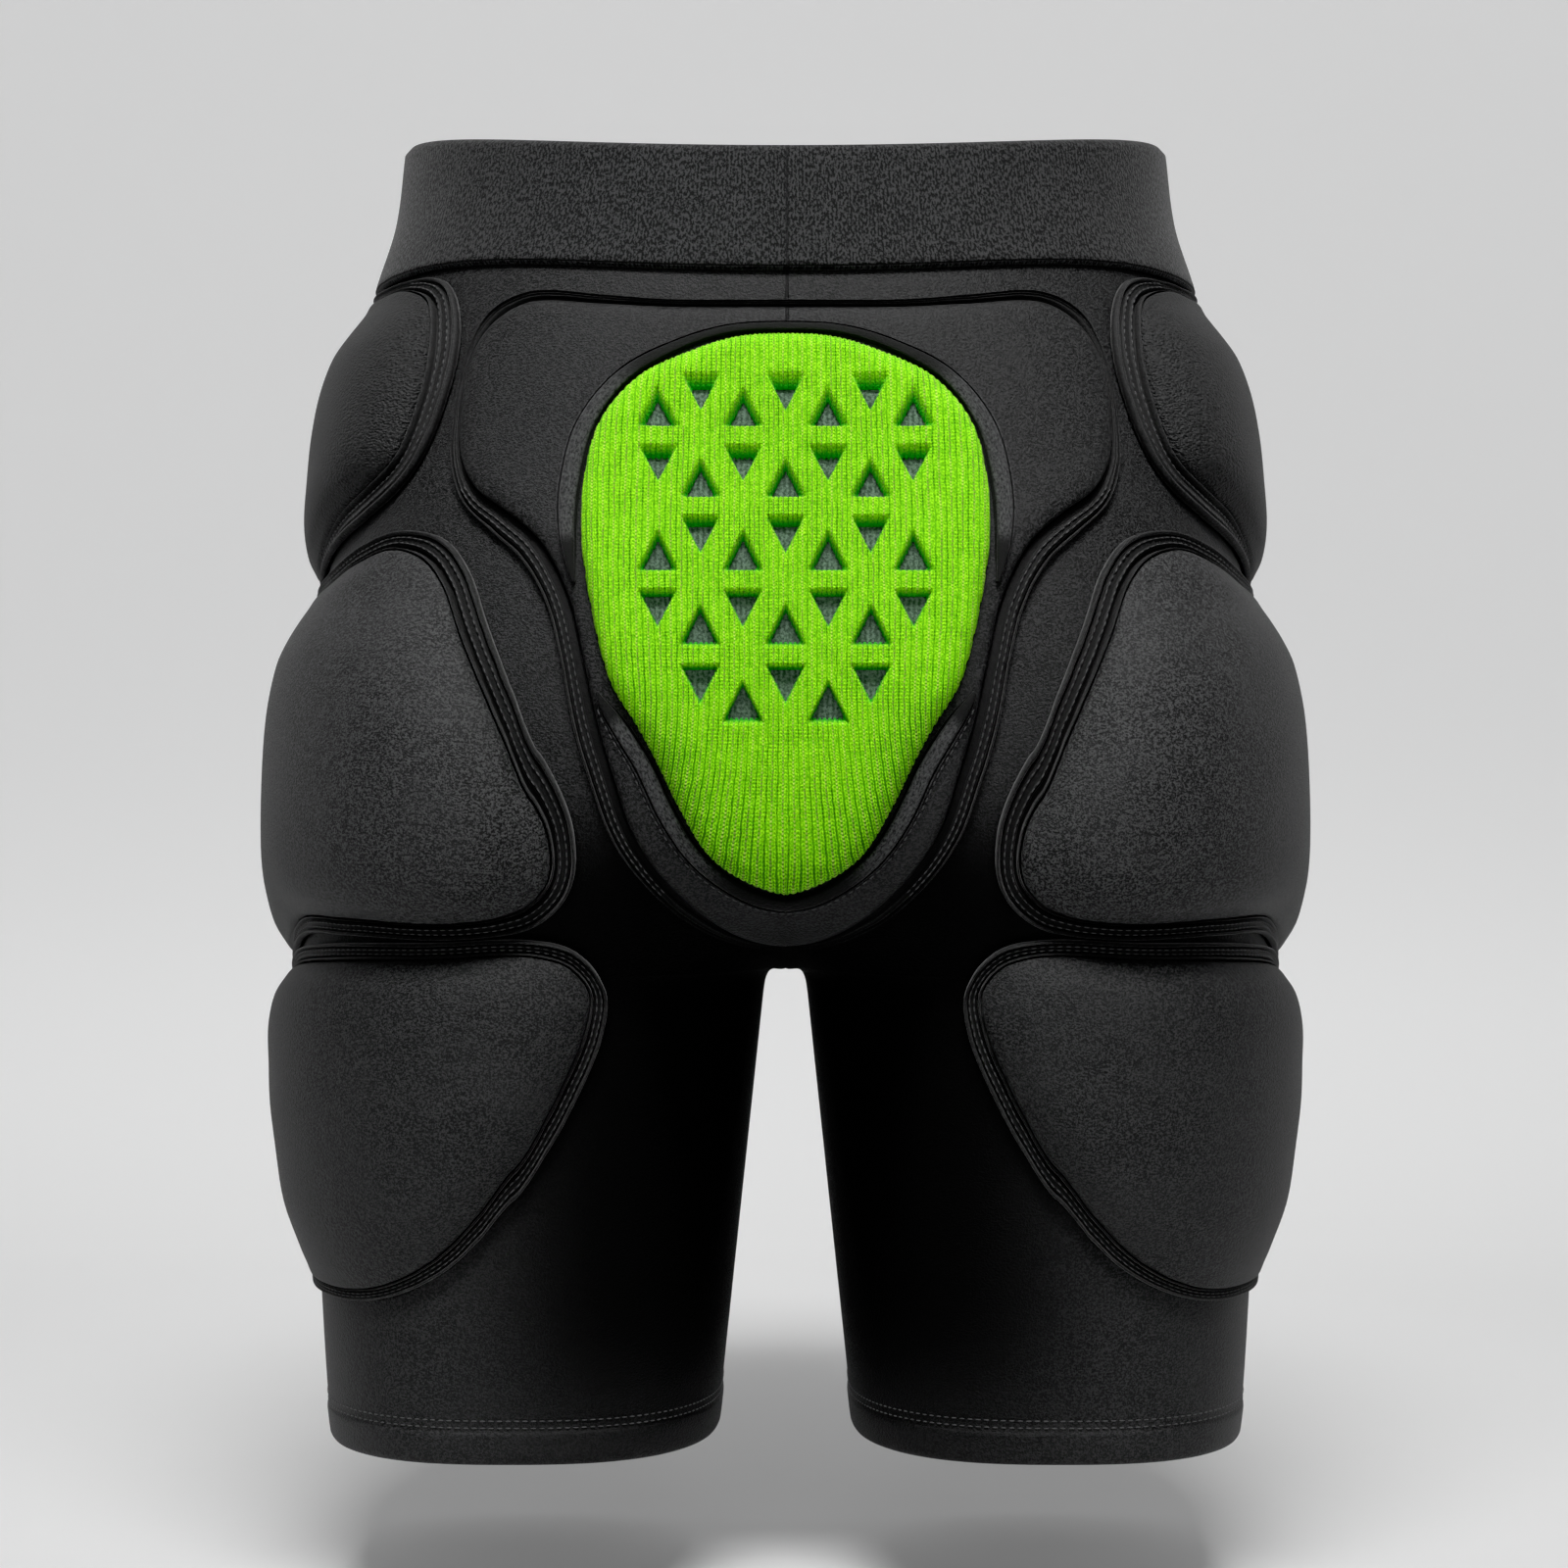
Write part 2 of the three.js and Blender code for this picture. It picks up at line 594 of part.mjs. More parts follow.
// The shorts: outer skin, inner skin, waist edge and two hems, as one wall
function shellBody() {
  const points = [];
  const faces = [];
  const top = bandBottom + bandLap;
  const foldTop = hemLevel + hemFoldHeight;
  const addQuad = (quad) => {
    for (const side of [1, -1]) {
      const base = points.length;
      points.push(...quad.map((p) => new THREE.Vector3(side * p.x, p.y, p.z)));
      if (side > 0) faces.push([base, base + 1, base + 2], [base, base + 2, base + 3]);
      else faces.push([base, base + 2, base + 1], [base, base + 3, base + 2]);
    }
  };
  const strip = (levels, inside) => {
    const rows = levels.map(({ z, out }) => {
      const form = section(z, inside ? clothWall : 0);
      const end = lastTurn(form, out);
      return Array.from({ length: sectionSteps + 1 }, (_, k) => {
        const turn = end * ((2 * k) / sectionSteps - 1);
        const [x, y] = sectionPoint(form, turn, out);
        const onMiddle = end < Math.PI && (k === 0 || k === sectionSteps);
        return new THREE.Vector3(onMiddle ? 0 : x, end === Math.PI && k % sectionSteps === 0 ? 0 : y, z);
      });
    });
    for (let i = 0; i + 1 < rows.length; i += 1) {
      for (let k = 0; k < sectionSteps; k += 1) {
        const quad = [rows[i][k], rows[i + 1][k], rows[i + 1][k + 1], rows[i][k + 1]];
        addQuad(inside ? quad.reverse() : quad);
      }
    }
    return rows;
  };
  const outerLevels = [
    ...torsoLevels.map((s) => ({ z: lerp(top, crotchLevel, s), out: 0 })),
    ...legLevels.map((s) => ({ z: lerp(crotchLevel, foldTop, s), out: 0 })),
    { z: foldTop, out: 0 },
    { z: foldTop - hemFoldRise, out: hemFoldRise },
    { z: hemLevel, out: hemFoldRise },
  ];
  // The inner halves meet a little higher, over the crotch seams
  const meet = (Math.sqrt(cleftSlope ** 2 + 4 * cleftCurve * clothWall) - cleftSlope) / (2 * cleftCurve);
  const innerCrotch = crotchLevel + crotchSeam + meet;
  const innerLevels = [
    ...torsoLevels.map((s) => ({ z: lerp(top, innerCrotch, s), out: 0 })),
    ...legLevels.map((s) => ({ z: lerp(innerCrotch, foldTop, s), out: 0 })),
    { z: hemLevel, out: 0 },
  ];
  const outer = strip(outerLevels, false);
  const inner = strip(innerLevels, true);
  for (let k = 0; k < sectionSteps; k += 1) {
    addQuad([outer[0][k], outer[0][k + 1], inner[0][k + 1], inner[0][k]]);
    const a = outer[outer.length - 1];
    const b = inner[inner.length - 1];
    addQuad([a[k], b[k], b[k + 1], a[k + 1]]);
  }
  return closedBody(points, faces);
}

// The waistband: a knitted ring round the top of the shorts
const bandLevels = [0, 0.33, 0.66, 1];
function bandBody() {
  const sections = [];
  for (let k = 0; k < 2 * sectionSteps; k += 1) {
    const side = k < sectionSteps ? 1 : -1;
    const share = (side > 0 ? k : 2 * sectionSteps - k) / sectionSteps;
    const bearing = Math.PI * share; // 0 at the middle of the back, a half turn at the front
    const behind = Math.max(0, Math.cos(bearing)) ** 2;
    const corner = Math.cos(bearing) > 0 ? Math.sin(2 * bearing) ** 2 : 0;
    const low = bandBottom - bandBottomDip * behind + bandBottomLift * corner;
    const high = bandTop - bandTopDip * behind;
    const at = (row, out) => {
      const z = lerp(low, high, row);
      const form = section(z);
      const end = lastTurn(form, out);
      const [x, y] = sectionPoint(form, end * (2 * share - 1), out);
      return new THREE.Vector3(share % 1 === 0 ? 0 : side * x, y, z);
    };
    const inside = bandLevels.map((row) => at(row, clear));
    const outside = bandLevels.map((row) => at(row, clear + bandWall)).reverse();
    sections.push([...inside, ...outside]);
  }
  return sweepBody(sections, true);
}

// Rings of the beds and faces. share: how far the ring has gone from the outline to the middle;
// every: which of the outline's points it takes; out: share of the piece's height.
// The bed of a pad follows what it lies on, a little hollow inside the seam.
const bedHollow = 2;
const bedRings = [
  { share: 0.78, every: 2 },
  { share: 0.57, every: 2 },
  { share: 0.36, every: 2 },
  { share: 0.16, every: 1 },
];

// Domed pad on the skin: the outline's steep edge, then a gentle crown; out: share of the crown
const padProfile = [
  { share: 0.05, every: 1, out: 0.34 },
  { share: 0.14, every: 1, out: 0.68 },
  { share: 0.32, every: 1, out: 0.92 },
  { share: 0.62, every: 2, out: 0.988 },
];
function padBody(outline, middle, surface, pad) {
  const ring = (share, out, every) => padRing(outline, middle, surface, share, out, every);
  const crownPoint = (x, y, out) => {
    const up = 1 - (2 * (pad.top - y)) / pad.height;
    const tall = pad.rise * smoothValue(pad.crown, "up", up, "tall");
    return surface(x, y, seat + lerp(padEdgeHeight, tall, out));
  };
  return ringBody([
    [surface(middle[0], middle[1], seat + bedHollow)],
    ...bedRings.map((row) => ring(row.share, seat + bedHollow, row.every)),
    ring(0, seat),
    ring(0, seat + padEdgeHeight),
    ...padProfile.map((row) => padRing(outline, middle, crownPoint, row.share, row.out, row.every)),
    [crownPoint(middle[0], middle[1], 1)],
  ]);
}

// The yoke's plate, thin at its edge and level under the tail pad
const yokeProfile = [
  { share: 0.0, every: 1, out: 0.55 },
  { share: 0.04, every: 1, out: 1.0 },
  { share: 0.36, every: 2, out: 1.0 },
  { share: 0.57, every: 2, out: 1.0 },
  { share: 0.78, every: 2, out: 1.0 },
];
function yokeBody(outline, middle) {
  const ring = (share, out, every) => padRing(outline, middle, backPoint, share, out, every);
  return ringBody([
    [backPoint(middle[0], middle[1], seat + bedHollow)],
    ...bedRings.map((row) => ring(row.share, seat + bedHollow, row.every)),
    ring(0, seat),
    ...yokeProfile.map((row) => ring(row.share, seat + yokeThickness * row.out, row.every)),
    [backPoint(middle[0], middle[1], seat + yokeThickness)],
  ]);
}

const yokeFace = seat + yokeThickness + clear; // what lies on the yoke starts here
const coreFace = yokeFace + coreThickness;

// Foam slab under the cover; the cover's inner side has the same rings, a little hollow
const coreInset = 0.1;
const coverInset = 0.06;
const coverHollow = 1.1;
const coreRings = [
  { share: 0.75, every: 2 },
  { share: 0.5, every: 2 },
  { share: 0.28, every: 1 },
];
function coreBody(outline, middle) {
  const ring = (share, out, every) => padRing(outline, middle, backPoint, share, out, every);
  return ringBody([
    [backPoint(middle[0], middle[1], yokeFace + bedHollow)],
    ...coreRings.map((row) => ring(row.share, yokeFace + bedHollow, row.every)),
    ring(coreInset, yokeFace),
    ring(coreInset, coreFace),
    ...coreRings.map((row) => ring(row.share, coreFace, row.every)).reverse(),
    [backPoint(middle[0], middle[1], coreFace)],
  ]);
}

// Merged geometry to a solid that can be cut, and back
function toSolid(geometry) {
  const bare = geometry.clone();
  bare.deleteAttribute("normal");
  bare.deleteAttribute("uv");
  const merged = mergeVertices(bare, 1e-4);
  const vertProperties = new Float32Array(merged.attributes.position.array);
  const triVerts = new Uint32Array(merged.index.array);
  return new wasm.Manifold(new wasm.Mesh({ numProp: 3, vertProperties, triVerts }));
}
function fromSolid(solid) {
  const mesh = solid.getMesh();
  const geometry = new THREE.BufferGeometry();
  geometry.setAttribute("position", new THREE.Float32BufferAttribute(mesh.vertProperties, 3));
  geometry.setIndex(Array.from(mesh.triVerts));
  return geometry;
}

// A triangular prism through the cover, its points cut off
function ventCutter(x, z, pointUp) {
  const tip = (pointUp ? 1 : -1) * (ventHeight / 2);
  const corners = [
    new THREE.Vector2(0, tip),
    new THREE.Vector2(ventWidth / 2, -tip),
    new THREE.Vector2(-ventWidth / 2, -tip),
  ];
  const outline = corners.flatMap((corner, i) => {
    const towards = (other) => corner.clone().lerp(other, ventCorner / ventWidth);
    return [towards(corners[(i + 2) % 3]), towards(corners[(i + 1) % 3])];
  });
  const depth = 2 * seatDepth;
  const prism = new THREE.ExtrudeGeometry(new THREE.Shape(outline), { depth, bevelEnabled: false });
  prism.rotateX(Math.PI / 2);
  prism.translate(x, 0, z);
  return toSolid(prism);
}

// Green cover: a cap over the core, with the vents cut through
const coverProfile = [
  { share: 0.0, every: 1, out: 0.2 },
  { share: 0.035, every: 1, out: 0.7 },
  { share: 0.1, every: 1, out: 0.95 },
  { share: 0.3, every: 2, out: 1.0 },
  { share: 0.65, every: 2, out: 1.0 },
];
function coverBody(outline, middle) {
  const ring = (share, out, every) => padRing(outline, middle, backPoint, share, out, every);
  const inside = coreFace + clear;
  const height = inside + coverWall - yokeFace;
  const cap = ringBody([
    [backPoint(middle[0], middle[1], inside + coverHollow)],
    ...coreRings.map((row) => ring(row.share, inside + coverHollow, row.every)),
    ring(coreInset, inside + coverHollow),
    ring(coverInset, inside),
    ring(coverInset, yokeFace),
    ring(0, yokeFace),
    ...coverProfile.map((row) => ring(row.share, yokeFace + height * row.out, row.every)),
    [backPoint(middle[0], middle[1], inside + coverWall)],
  ]);
  let solid = toSolid(cap);
  for (let row = 0; row < ventRows; row += 1) {
    const evenColumns = row % 4 === 0 || row % 4 === 3;
    const spread = row === ventRows - 1 ? 1 : evenColumns ? 2 : 3;
    const pairDrop = Math.floor(row / 2) * ventRowPitch + (row % 2) * ventPairStep;
    for (let column = -spread; column <= spread; column += 2) {
      const z = tailTop - ventFirstRow - pairDrop;
      solid = solid.subtract(ventCutter(column * ventColumn, z, row % 2 === 1));
    }
  }
  return fromSolid(solid);
}

// One arc of the rim, lying on the yoke
function rimBody(rows, steps) {
  const half = rows.map((row) => [row.across * tailHalfWidth, tailTop - row.down * tailHeight, row.width]);
  const whole = [...half.slice(1).reverse().map(([x, z, width]) => [-x, z, width]), ...half];
  const sections = smoothLine(whole, steps, false).map((p) => {
    const reach = (p.share * rimWidth) / 2;
    const at = (across, out) => backPoint(p.x + p.nx * across, p.y + p.ny * across, yokeFace + out);
    const face = rimBevel * reach;
    return [at(-reach, 0), at(-face, rimHeight), at(face, rimHeight), at(reach, 0)];
  });
  return sweepBody(sections, false);
}

const garment = new THREE.Group();

function addPiece(name, geometry, look) {
  const mesh = new THREE.Mesh(geometry, new THREE.MeshStandardMaterial(look));
  mesh.name = name;
  garment.add(mesh);
}

addPiece("shorts_shell", shellBody(), black);
addPiece("waistband", bandBody(), knitBand);

// The yoke and what lies on it; their rings close at these shares of the heights
const yokeCentre = 0.49;
const tailCentre = 0.45;
const tailTop = yokeTop - tailDrop;
const yokeHalf = yokeOutline.map((row) => [
  row.wide * yokeHalfWidth + row.tail * tailHalfWidth,
  yokeTop - row.down * yokeHeight,
  row.border,
]);
const yokeLine = smoothLine(wholeOutline(yokeHalf), yokeSteps, true);
const yokeMiddle = [0, yokeTop - yokeCentre * yokeHeight];
addPiece("yoke_panel", yokeBody(yokeLine, yokeMiddle), black);
addPiece("yoke_border", borderBody(yokeLine, backPoint, yokeBorder), welt);

const tailHalf = tailOutline.map((row) => [row.across * tailHalfWidth, tailTop - row.down * tailHeight, 1]);
const tailLine = smoothLine(wholeOutline(tailHalf), tailSteps, true);
const tailMiddle = [0, tailTop - tailCentre * tailHeight];
addPiece("tail_core", coreBody(tailLine, tailMiddle), foam);
addPiece("tail_cover", coverBody(tailLine, tailMiddle), green);
addPiece("tail_rim_upper", rimBody(upperRim, upperRimSteps), grey);
addPiece("tail_rim_lower", rimBody(lowerRim, lowerRimSteps), grey);

// Side pads. The hip and thigh pads reach back to the yoke's edge, less a gap and their border.
const hipBackBorder = 1.1;
const thighBackBorder = 0.95;
const thighCorner = 0.33; // height of the thigh pad's back corner, share of the pad's
const hipMiddleZ = (hipPadTop + hipPadBottom) / 2;
const besideHip = yokeHalfWidth + yokeSideBorder * yokeBorder + yokeToHip;
const hipPadBack = aroundAt(besideHip, hipMiddleZ) - hipBackBorder * hipBorder;
const thighCornerZ = lerp(thighPadBottom, thighPadTop, thighCorner);
const besideThigh = tailAtCorner * tailHalfWidth + yokeLowBorder * yokeBorder + yokeToThigh;
const thighPadBack = aroundAt(besideThigh, thighCornerZ) - thighBackBorder * thighBorder;
const sidePads = [
  {
    name: "hip",
    rows: hipOutline,
    top: hipPadTop,
    height: hipPadHeight,
    front: hipPadFront,
    back: hipPadBack,
    rise: hipPadRise,
    crown: hipCrown,
    border: hipBorder,
    steps: hipSteps,
  },
  {
    name: "thigh",
    rows: thighOutline,
    top: thighPadTop,
    height: thighPadHeight,
    front: thighPadFront,
    back: thighPadBack,
    rise: thighPadRise,
    crown: thighCrown,
    border: thighBorder,
    steps: thighSteps,
  },
  {
    name: "leg",
    rows: legOutline,
    top: legPadTop,
    height: legPadHeight,
    front: legPadFront,
    back: legPadBack,
    rise: legPadRise,
    crown: legCrown,
    border: legBorder,
    steps: legSteps,
  },
];
for (const pad of sidePads) {
  const middle = [(pad.back - pad.front) / 2, pad.top - pad.height / 2];
  const half = [(pad.back + pad.front) / 2, pad.height / 2];
  const place = (row) => [middle[0] + row.across * half[0], middle[1] + row.up * half[1], row.border];
  const line = smoothLine(pad.rows.map(place), pad.steps, true);
  for (const [side, word] of [[1, "right"], [-1, "left"]]) {
    const surface = (around, z, out) => {
      const p = skinPoint(around, z, out);
      p.x *= side;
      return p;
    };
    addPiece(`${pad.name}_pad_${word}`, padBody(line, middle, surface, pad), black);
    addPiece(`${pad.name}_border_${word}`, borderBody(line, surface, pad.border), welt);
  }
}

export default garment;
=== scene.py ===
import math
import bmesh
import bpy
import numpy as np
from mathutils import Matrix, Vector


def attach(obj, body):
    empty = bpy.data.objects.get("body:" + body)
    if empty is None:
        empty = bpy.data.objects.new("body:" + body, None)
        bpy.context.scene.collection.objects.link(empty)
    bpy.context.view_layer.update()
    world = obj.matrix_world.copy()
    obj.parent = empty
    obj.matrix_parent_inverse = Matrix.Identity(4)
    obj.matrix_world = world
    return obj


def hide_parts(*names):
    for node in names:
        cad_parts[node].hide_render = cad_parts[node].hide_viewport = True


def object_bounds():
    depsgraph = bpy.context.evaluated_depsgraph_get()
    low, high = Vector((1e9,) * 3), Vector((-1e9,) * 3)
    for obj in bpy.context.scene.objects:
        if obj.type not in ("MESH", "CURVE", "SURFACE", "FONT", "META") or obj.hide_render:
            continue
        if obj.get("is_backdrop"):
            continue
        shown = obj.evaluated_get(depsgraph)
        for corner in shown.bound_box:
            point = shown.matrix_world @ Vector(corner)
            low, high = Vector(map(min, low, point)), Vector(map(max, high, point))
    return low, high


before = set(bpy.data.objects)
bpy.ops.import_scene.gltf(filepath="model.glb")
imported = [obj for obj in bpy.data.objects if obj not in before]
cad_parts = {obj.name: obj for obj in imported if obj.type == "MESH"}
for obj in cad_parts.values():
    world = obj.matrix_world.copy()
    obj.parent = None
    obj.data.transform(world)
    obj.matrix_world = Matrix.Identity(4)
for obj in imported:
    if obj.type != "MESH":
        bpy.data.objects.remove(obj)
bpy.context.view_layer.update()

# Padded hip protection shorts, seen from behind. Shapes are worked out in millimetres, up is +Z.
mm = 0.001
rough = np.random.default_rng(7)  # every uneven seam comes from this seed
print("frame loaded, nodes:", len(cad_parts))

body = {
    "waistHalfWidth": 131, "waistDepth": 99,
    "thighHalfWidth": 169, "seatDepth": 127, "bellyDepth": 106,
    "hemHalfWidth": 158, "hemBackDepth": 85, "hemFrontDepth": 84,
    "hemHalfGap": 23.7, "crotchHalfGap": 6.6, "gapRound": 2,
    "cleftSlope": 1.6, "cleftGrowth": 14.2, "crotchSeam": 2.5,
}
band = {
    "height": 52, "wall": 2.5, "lap": 9, "topDip": 15, "bottomDip": 4.5, "bottomLift": 4,
}
fit = {"clear": 0.4, "seat": 0.9, "bandToPad": 5, "bandToYoke": 10, "thighOverHip": 5}
yoke = {
    "height": 206, "halfWidth": 104, "border": 8, "rise": 4.5, "edge": 2.2, "slope": 9,
    "toHip": 6, "toThigh": 12, "toCrotch": 12, "sideBorder": 0.4, "lowBorder": 0.8, "bend": 0.22,
    "stitchedFrom": 0.7,
}
tail = {"drop": 13.5, "height": 178, "halfWidth": 64, "core": 3.5, "cover": 4, "atCorner": 0.79}
hipPad = {"height": 95, "front": 55, "rise": 13.5, "border": 10, "backBorder": 1.1}
thighPad = {
    "height": 137, "front": 68, "rise": 18, "border": 8.5, "backBorder": 0.95,
    "corner": 0.33, "backRise": 0.135, "lowBorder": 0.65,
}
legPad = {
    "height": 113, "front": 58, "back": 176, "rise": 14.5, "border": 5.5,
    "topBorder": 0.85, "toThigh": 1, "toHem": 56.5,
}

bandTop = band["height"] / 2
bandBottom = -band["height"] / 2
yokeTop = bandBottom - band["bottomDip"] - fit["bandToYoke"]
yokeBottom = yokeTop - yoke["height"]
crotchLevel = yokeBottom - yoke["toCrotch"]
torsoLength = bandTop - crotchLevel
hipPad["top"] = bandBottom - fit["bandToPad"]
thighPad["top"] = hipPad["top"] - hipPad["height"] + fit["thighOverHip"]
thighPad["bottom"] = thighPad["top"] - thighPad["height"]
padGap = (
    thighPad["lowBorder"] * thighPad["border"] + legPad["toThigh"]
    + legPad["topBorder"] * legPad["border"]
)
legPad["top"] = thighPad["bottom"] + thighPad["backRise"] * thighPad["height"] - padGap
hemLevel = legPad["top"] - legPad["height"] - legPad["toHem"]
legLength = crotchLevel - hemLevel
tailTop = yokeTop - tail["drop"]


def columns(names, rows):
    return dict(zip(names.split(), np.array(rows, float).T))


# down: share of the way from waist to crotch; wide, back, belly: share from the waist's size to
# the widest; crest: where the back stands out most, share of the half width; square: exponent
torsoRows = columns("down wide back belly crest square", [
    (0.0, 0.0, 0.0, 0.0, 0.0, 2.05),
    (0.095, 0.09, 0.14, 0.29, 0.015, 2.05),
    (0.18, 0.285, 0.29, 0.57, 0.056, 2.08),
    (0.305, 0.47, 0.54, 0.86, 0.174, 2.15),
    (0.43, 0.635, 0.71, 1.0, 0.297, 2.2),
    (0.55, 0.775, 0.89, 1.0, 0.386, 2.25),
    (0.675, 0.82, 1.0, 0.86, 0.457, 2.3),
    (0.8, 0.85, 0.93, 0.71, 0.497, 2.3),
    (0.905, 0.925, 0.64, 0.43, 0.517, 2.3),
    (1.0, 1.0, 0.32, 0.14, 0.521, 2.3),
])
legRows = columns("down wide back belly crest square", [
    (0.26, 0.36, 0.3, 0.19, 0.53, 2.35),
    (0.57, 0.55, 0.61, 0.5, 0.546, 2.45),
    (0.88, 0.82, 0.91, 0.875, 0.569, 2.6),
    (1.0, 1.0, 1.0, 1.0, 0.577, 2.6),
])

# Outlines run from the top over the back and the bottom to the front. across and up: shares of
# half the pad's width and height, across towards the back; border: share of the border's width
hipOutline = columns("across up border", [
    (0.56, 1.0, 0.38), (0.79, 0.88, 0.8), (0.92, 0.58, 1.1), (0.99, 0.2, 1.15), (0.97, -0.22, 1.1),
    (0.82, -0.4, 1.05), (0.59, -0.55, 0.95), (0.33, -0.74, 0.65), (0.04, -0.92, 0.4),
    (-0.27, -1.0, 0.35), (-0.55, -0.9, 0.45), (-0.8, -0.64, 0.6), (-0.97, -0.22, 0.7),
    (-0.98, 0.25, 0.7), (-0.84, 0.67, 0.6), (-0.5, 0.95, 0.4), (0.0, 1.0, 0.35), (0.3, 1.0, 0.35),
])
thighOutline = columns("across up border", [
    (0.45, 1.0, 0.75), (0.58, 0.94, 0.95), (0.67, 0.81, 1.0), (0.75, 0.6, 1.0), (0.86, 0.28, 0.95),
    (0.95, -0.06, 0.95), (1.0, -0.33, 0.95), (0.985, -0.53, 0.9), (0.9, -0.67, 0.75),
    (0.74, -0.73, 0.65), (0.4, -0.73, 0.65), (0.08, -0.745, 0.65), (-0.14, -0.84, 0.65),
    (-0.36, -0.95, 0.65), (-0.6, -1.0, 0.65), (-0.83, -0.9, 0.8), (-0.97, -0.58, 0.9),
    (-1.0, -0.1, 0.9), (-0.94, 0.36, 0.85), (-0.75, 0.69, 0.6), (-0.45, 0.795, 0.45),
    (-0.1, 0.815, 0.5), (0.14, 0.87, 0.7), (0.3, 0.95, 0.75),
])
legOutline = columns("across up border", [
    (0.86, 1.0, 0.85), (0.96, 0.94, 1.0), (1.0, 0.79, 1.0), (0.97, 0.58, 1.0), (0.88, 0.27, 1.0),
    (0.75, -0.12, 1.0), (0.6, -0.49, 0.95), (0.44, -0.79, 0.85), (0.25, -0.965, 0.7),
    (-0.02, -1.0, 0.65), (-0.35, -0.96, 0.65), (-0.66, -0.81, 0.75), (-0.88, -0.44, 0.9),
    (-1.0, 0.08, 1.0), (-0.98, 0.42, 1.0), (-0.83, 0.61, 1.0), (-0.5, 0.66, 1.0),
    (-0.27, 0.76, 1.0), (-0.05, 0.88, 1.0), (0.25, 0.94, 1.0), (0.6, 0.975, 0.9),
])

# How tall a pad's crown is at a level of the pad, share of its rise
hipPad["crown"] = columns("up tall", [
    (-1.0, 0.7), (-0.6, 0.84), (-0.3, 0.92), (0.0, 1.0), (0.3, 1.0), (0.56, 0.88), (0.75, 0.64),
    (0.92, 0.38), (1.0, 0.3),
])
thighPad["crown"] = columns("up tall", [
    (-1.0, 0.7), (-0.65, 0.84), (-0.4, 0.95), (-0.08, 1.0), (0.24, 0.95), (0.49, 0.82),
    (0.62, 0.67), (0.76, 0.48), (1.0, 0.36),
])
legPad["crown"] = columns("up tall", [
    (-1.0, 0.38), (-0.82, 0.52), (-0.54, 0.78), (-0.24, 0.9), (0.06, 0.98), (0.38, 0.93), (1.0, 0.85),
])

# Right halves from top to bottom. wide and tail: shares of the yoke's and tail pad's half width
yokeOutline = columns("wide tail down border", [
    (0.0, 0.0, 0.016, 0.33), (0.37, 0.0, 0.015, 0.33), (0.56, 0.0, 0.008, 0.4),
    (0.79, 0.0, 0.0, 0.5), (0.89, 0.0, 0.025, 0.55), (0.95, 0.0, 0.062, 0.36),
    (0.985, 0.0, 0.11, 0.26), (1.0, 0.0, 0.18, 0.32), (0.99, 0.0, 0.25, 0.5),
    (0.94, 0.0, 0.3, 0.76), (0.85, 0.0, 0.335, 0.96), (0.0, 1.23, 0.376, 1.0),
    (0.0, 1.13, 0.425, 0.93), (0.0, 1.06, 0.48, 0.88), (0.0, 1.0, 0.56, 0.86),
    (0.0, 0.93, 0.66, 0.93), (0.0, 0.85, 0.745, 0.91), (0.0, 0.77, 0.82, 0.84),
    (0.0, 0.64, 0.885, 0.74), (0.0, 0.44, 0.947, 0.6), (0.0, 0.2, 0.99, 0.35), (0.0, 0.0, 1.0, 0.2),
])
tailOutline = columns("across down", [
    (0.0, 0.0), (0.26, 0.007), (0.5, 0.036), (0.72, 0.078), (0.9, 0.155), (0.98, 0.25),
    (1.0, 0.37), (0.95, 0.497), (0.855, 0.62), (0.735, 0.69), (0.64, 0.75), (0.52, 0.835),
    (0.375, 0.912), (0.2, 0.95), (0.0, 0.966),
])
rim = {"width": 6, "margin": 1.1, "steps": 360, "stitchAt": 1.22, "stitchedFrom": 0.4}
upperRim = columns("across down width", [
    (0.0, -0.0165, 0.36), (0.285, -0.0105, 0.36), (0.532, 0.0185, 0.42), (0.805, 0.0765, 0.6),
    (0.985, 0.165, 0.8), (1.06, 0.27, 0.85), (1.075, 0.34, 0.7), (1.06, 0.41, 0.35),
    (1.045, 0.445, 0.12),
])
lowerRim = columns("across down width", [
    (0.0, 0.992, 0.45), (0.15, 0.985, 0.48), (0.31, 0.958, 0.55), (0.455, 0.915, 0.65),
    (0.59, 0.845, 0.75), (0.7, 0.765, 0.75), (0.815, 0.7, 0.65), (0.9, 0.655, 0.35),
    (0.93, 0.635, 0.12),
])


def mix(a, b, t):
    return a + (b - a) * t


def smooth(x, low, high):
    t = np.clip((x - low) / (high - low), 0, 1)
    return t * t * (3 - 2 * t)


def curveThrough(keys, values, x):
    slopes = np.empty(len(keys))
    slopes[1:-1] = (values[2:] - values[:-2]) / (keys[2:] - keys[:-2])
    slopes[0] = (values[1] - values[0]) / (keys[1] - keys[0])
    slopes[-1] = (values[-1] - values[-2]) / (keys[-1] - keys[-2])
    i = np.clip(np.searchsorted(keys, x) - 1, 0, len(keys) - 2)
    step = keys[i + 1] - keys[i]
    t = (x - keys[i]) / step
    ends = (1 + 2 * t) * (1 - t) ** 2 * values[i] + t * t * (3 - 2 * t) * values[i + 1]
    return ends + t * (1 - t) * step * ((1 - t) * slopes[i] - t * slopes[i + 1])


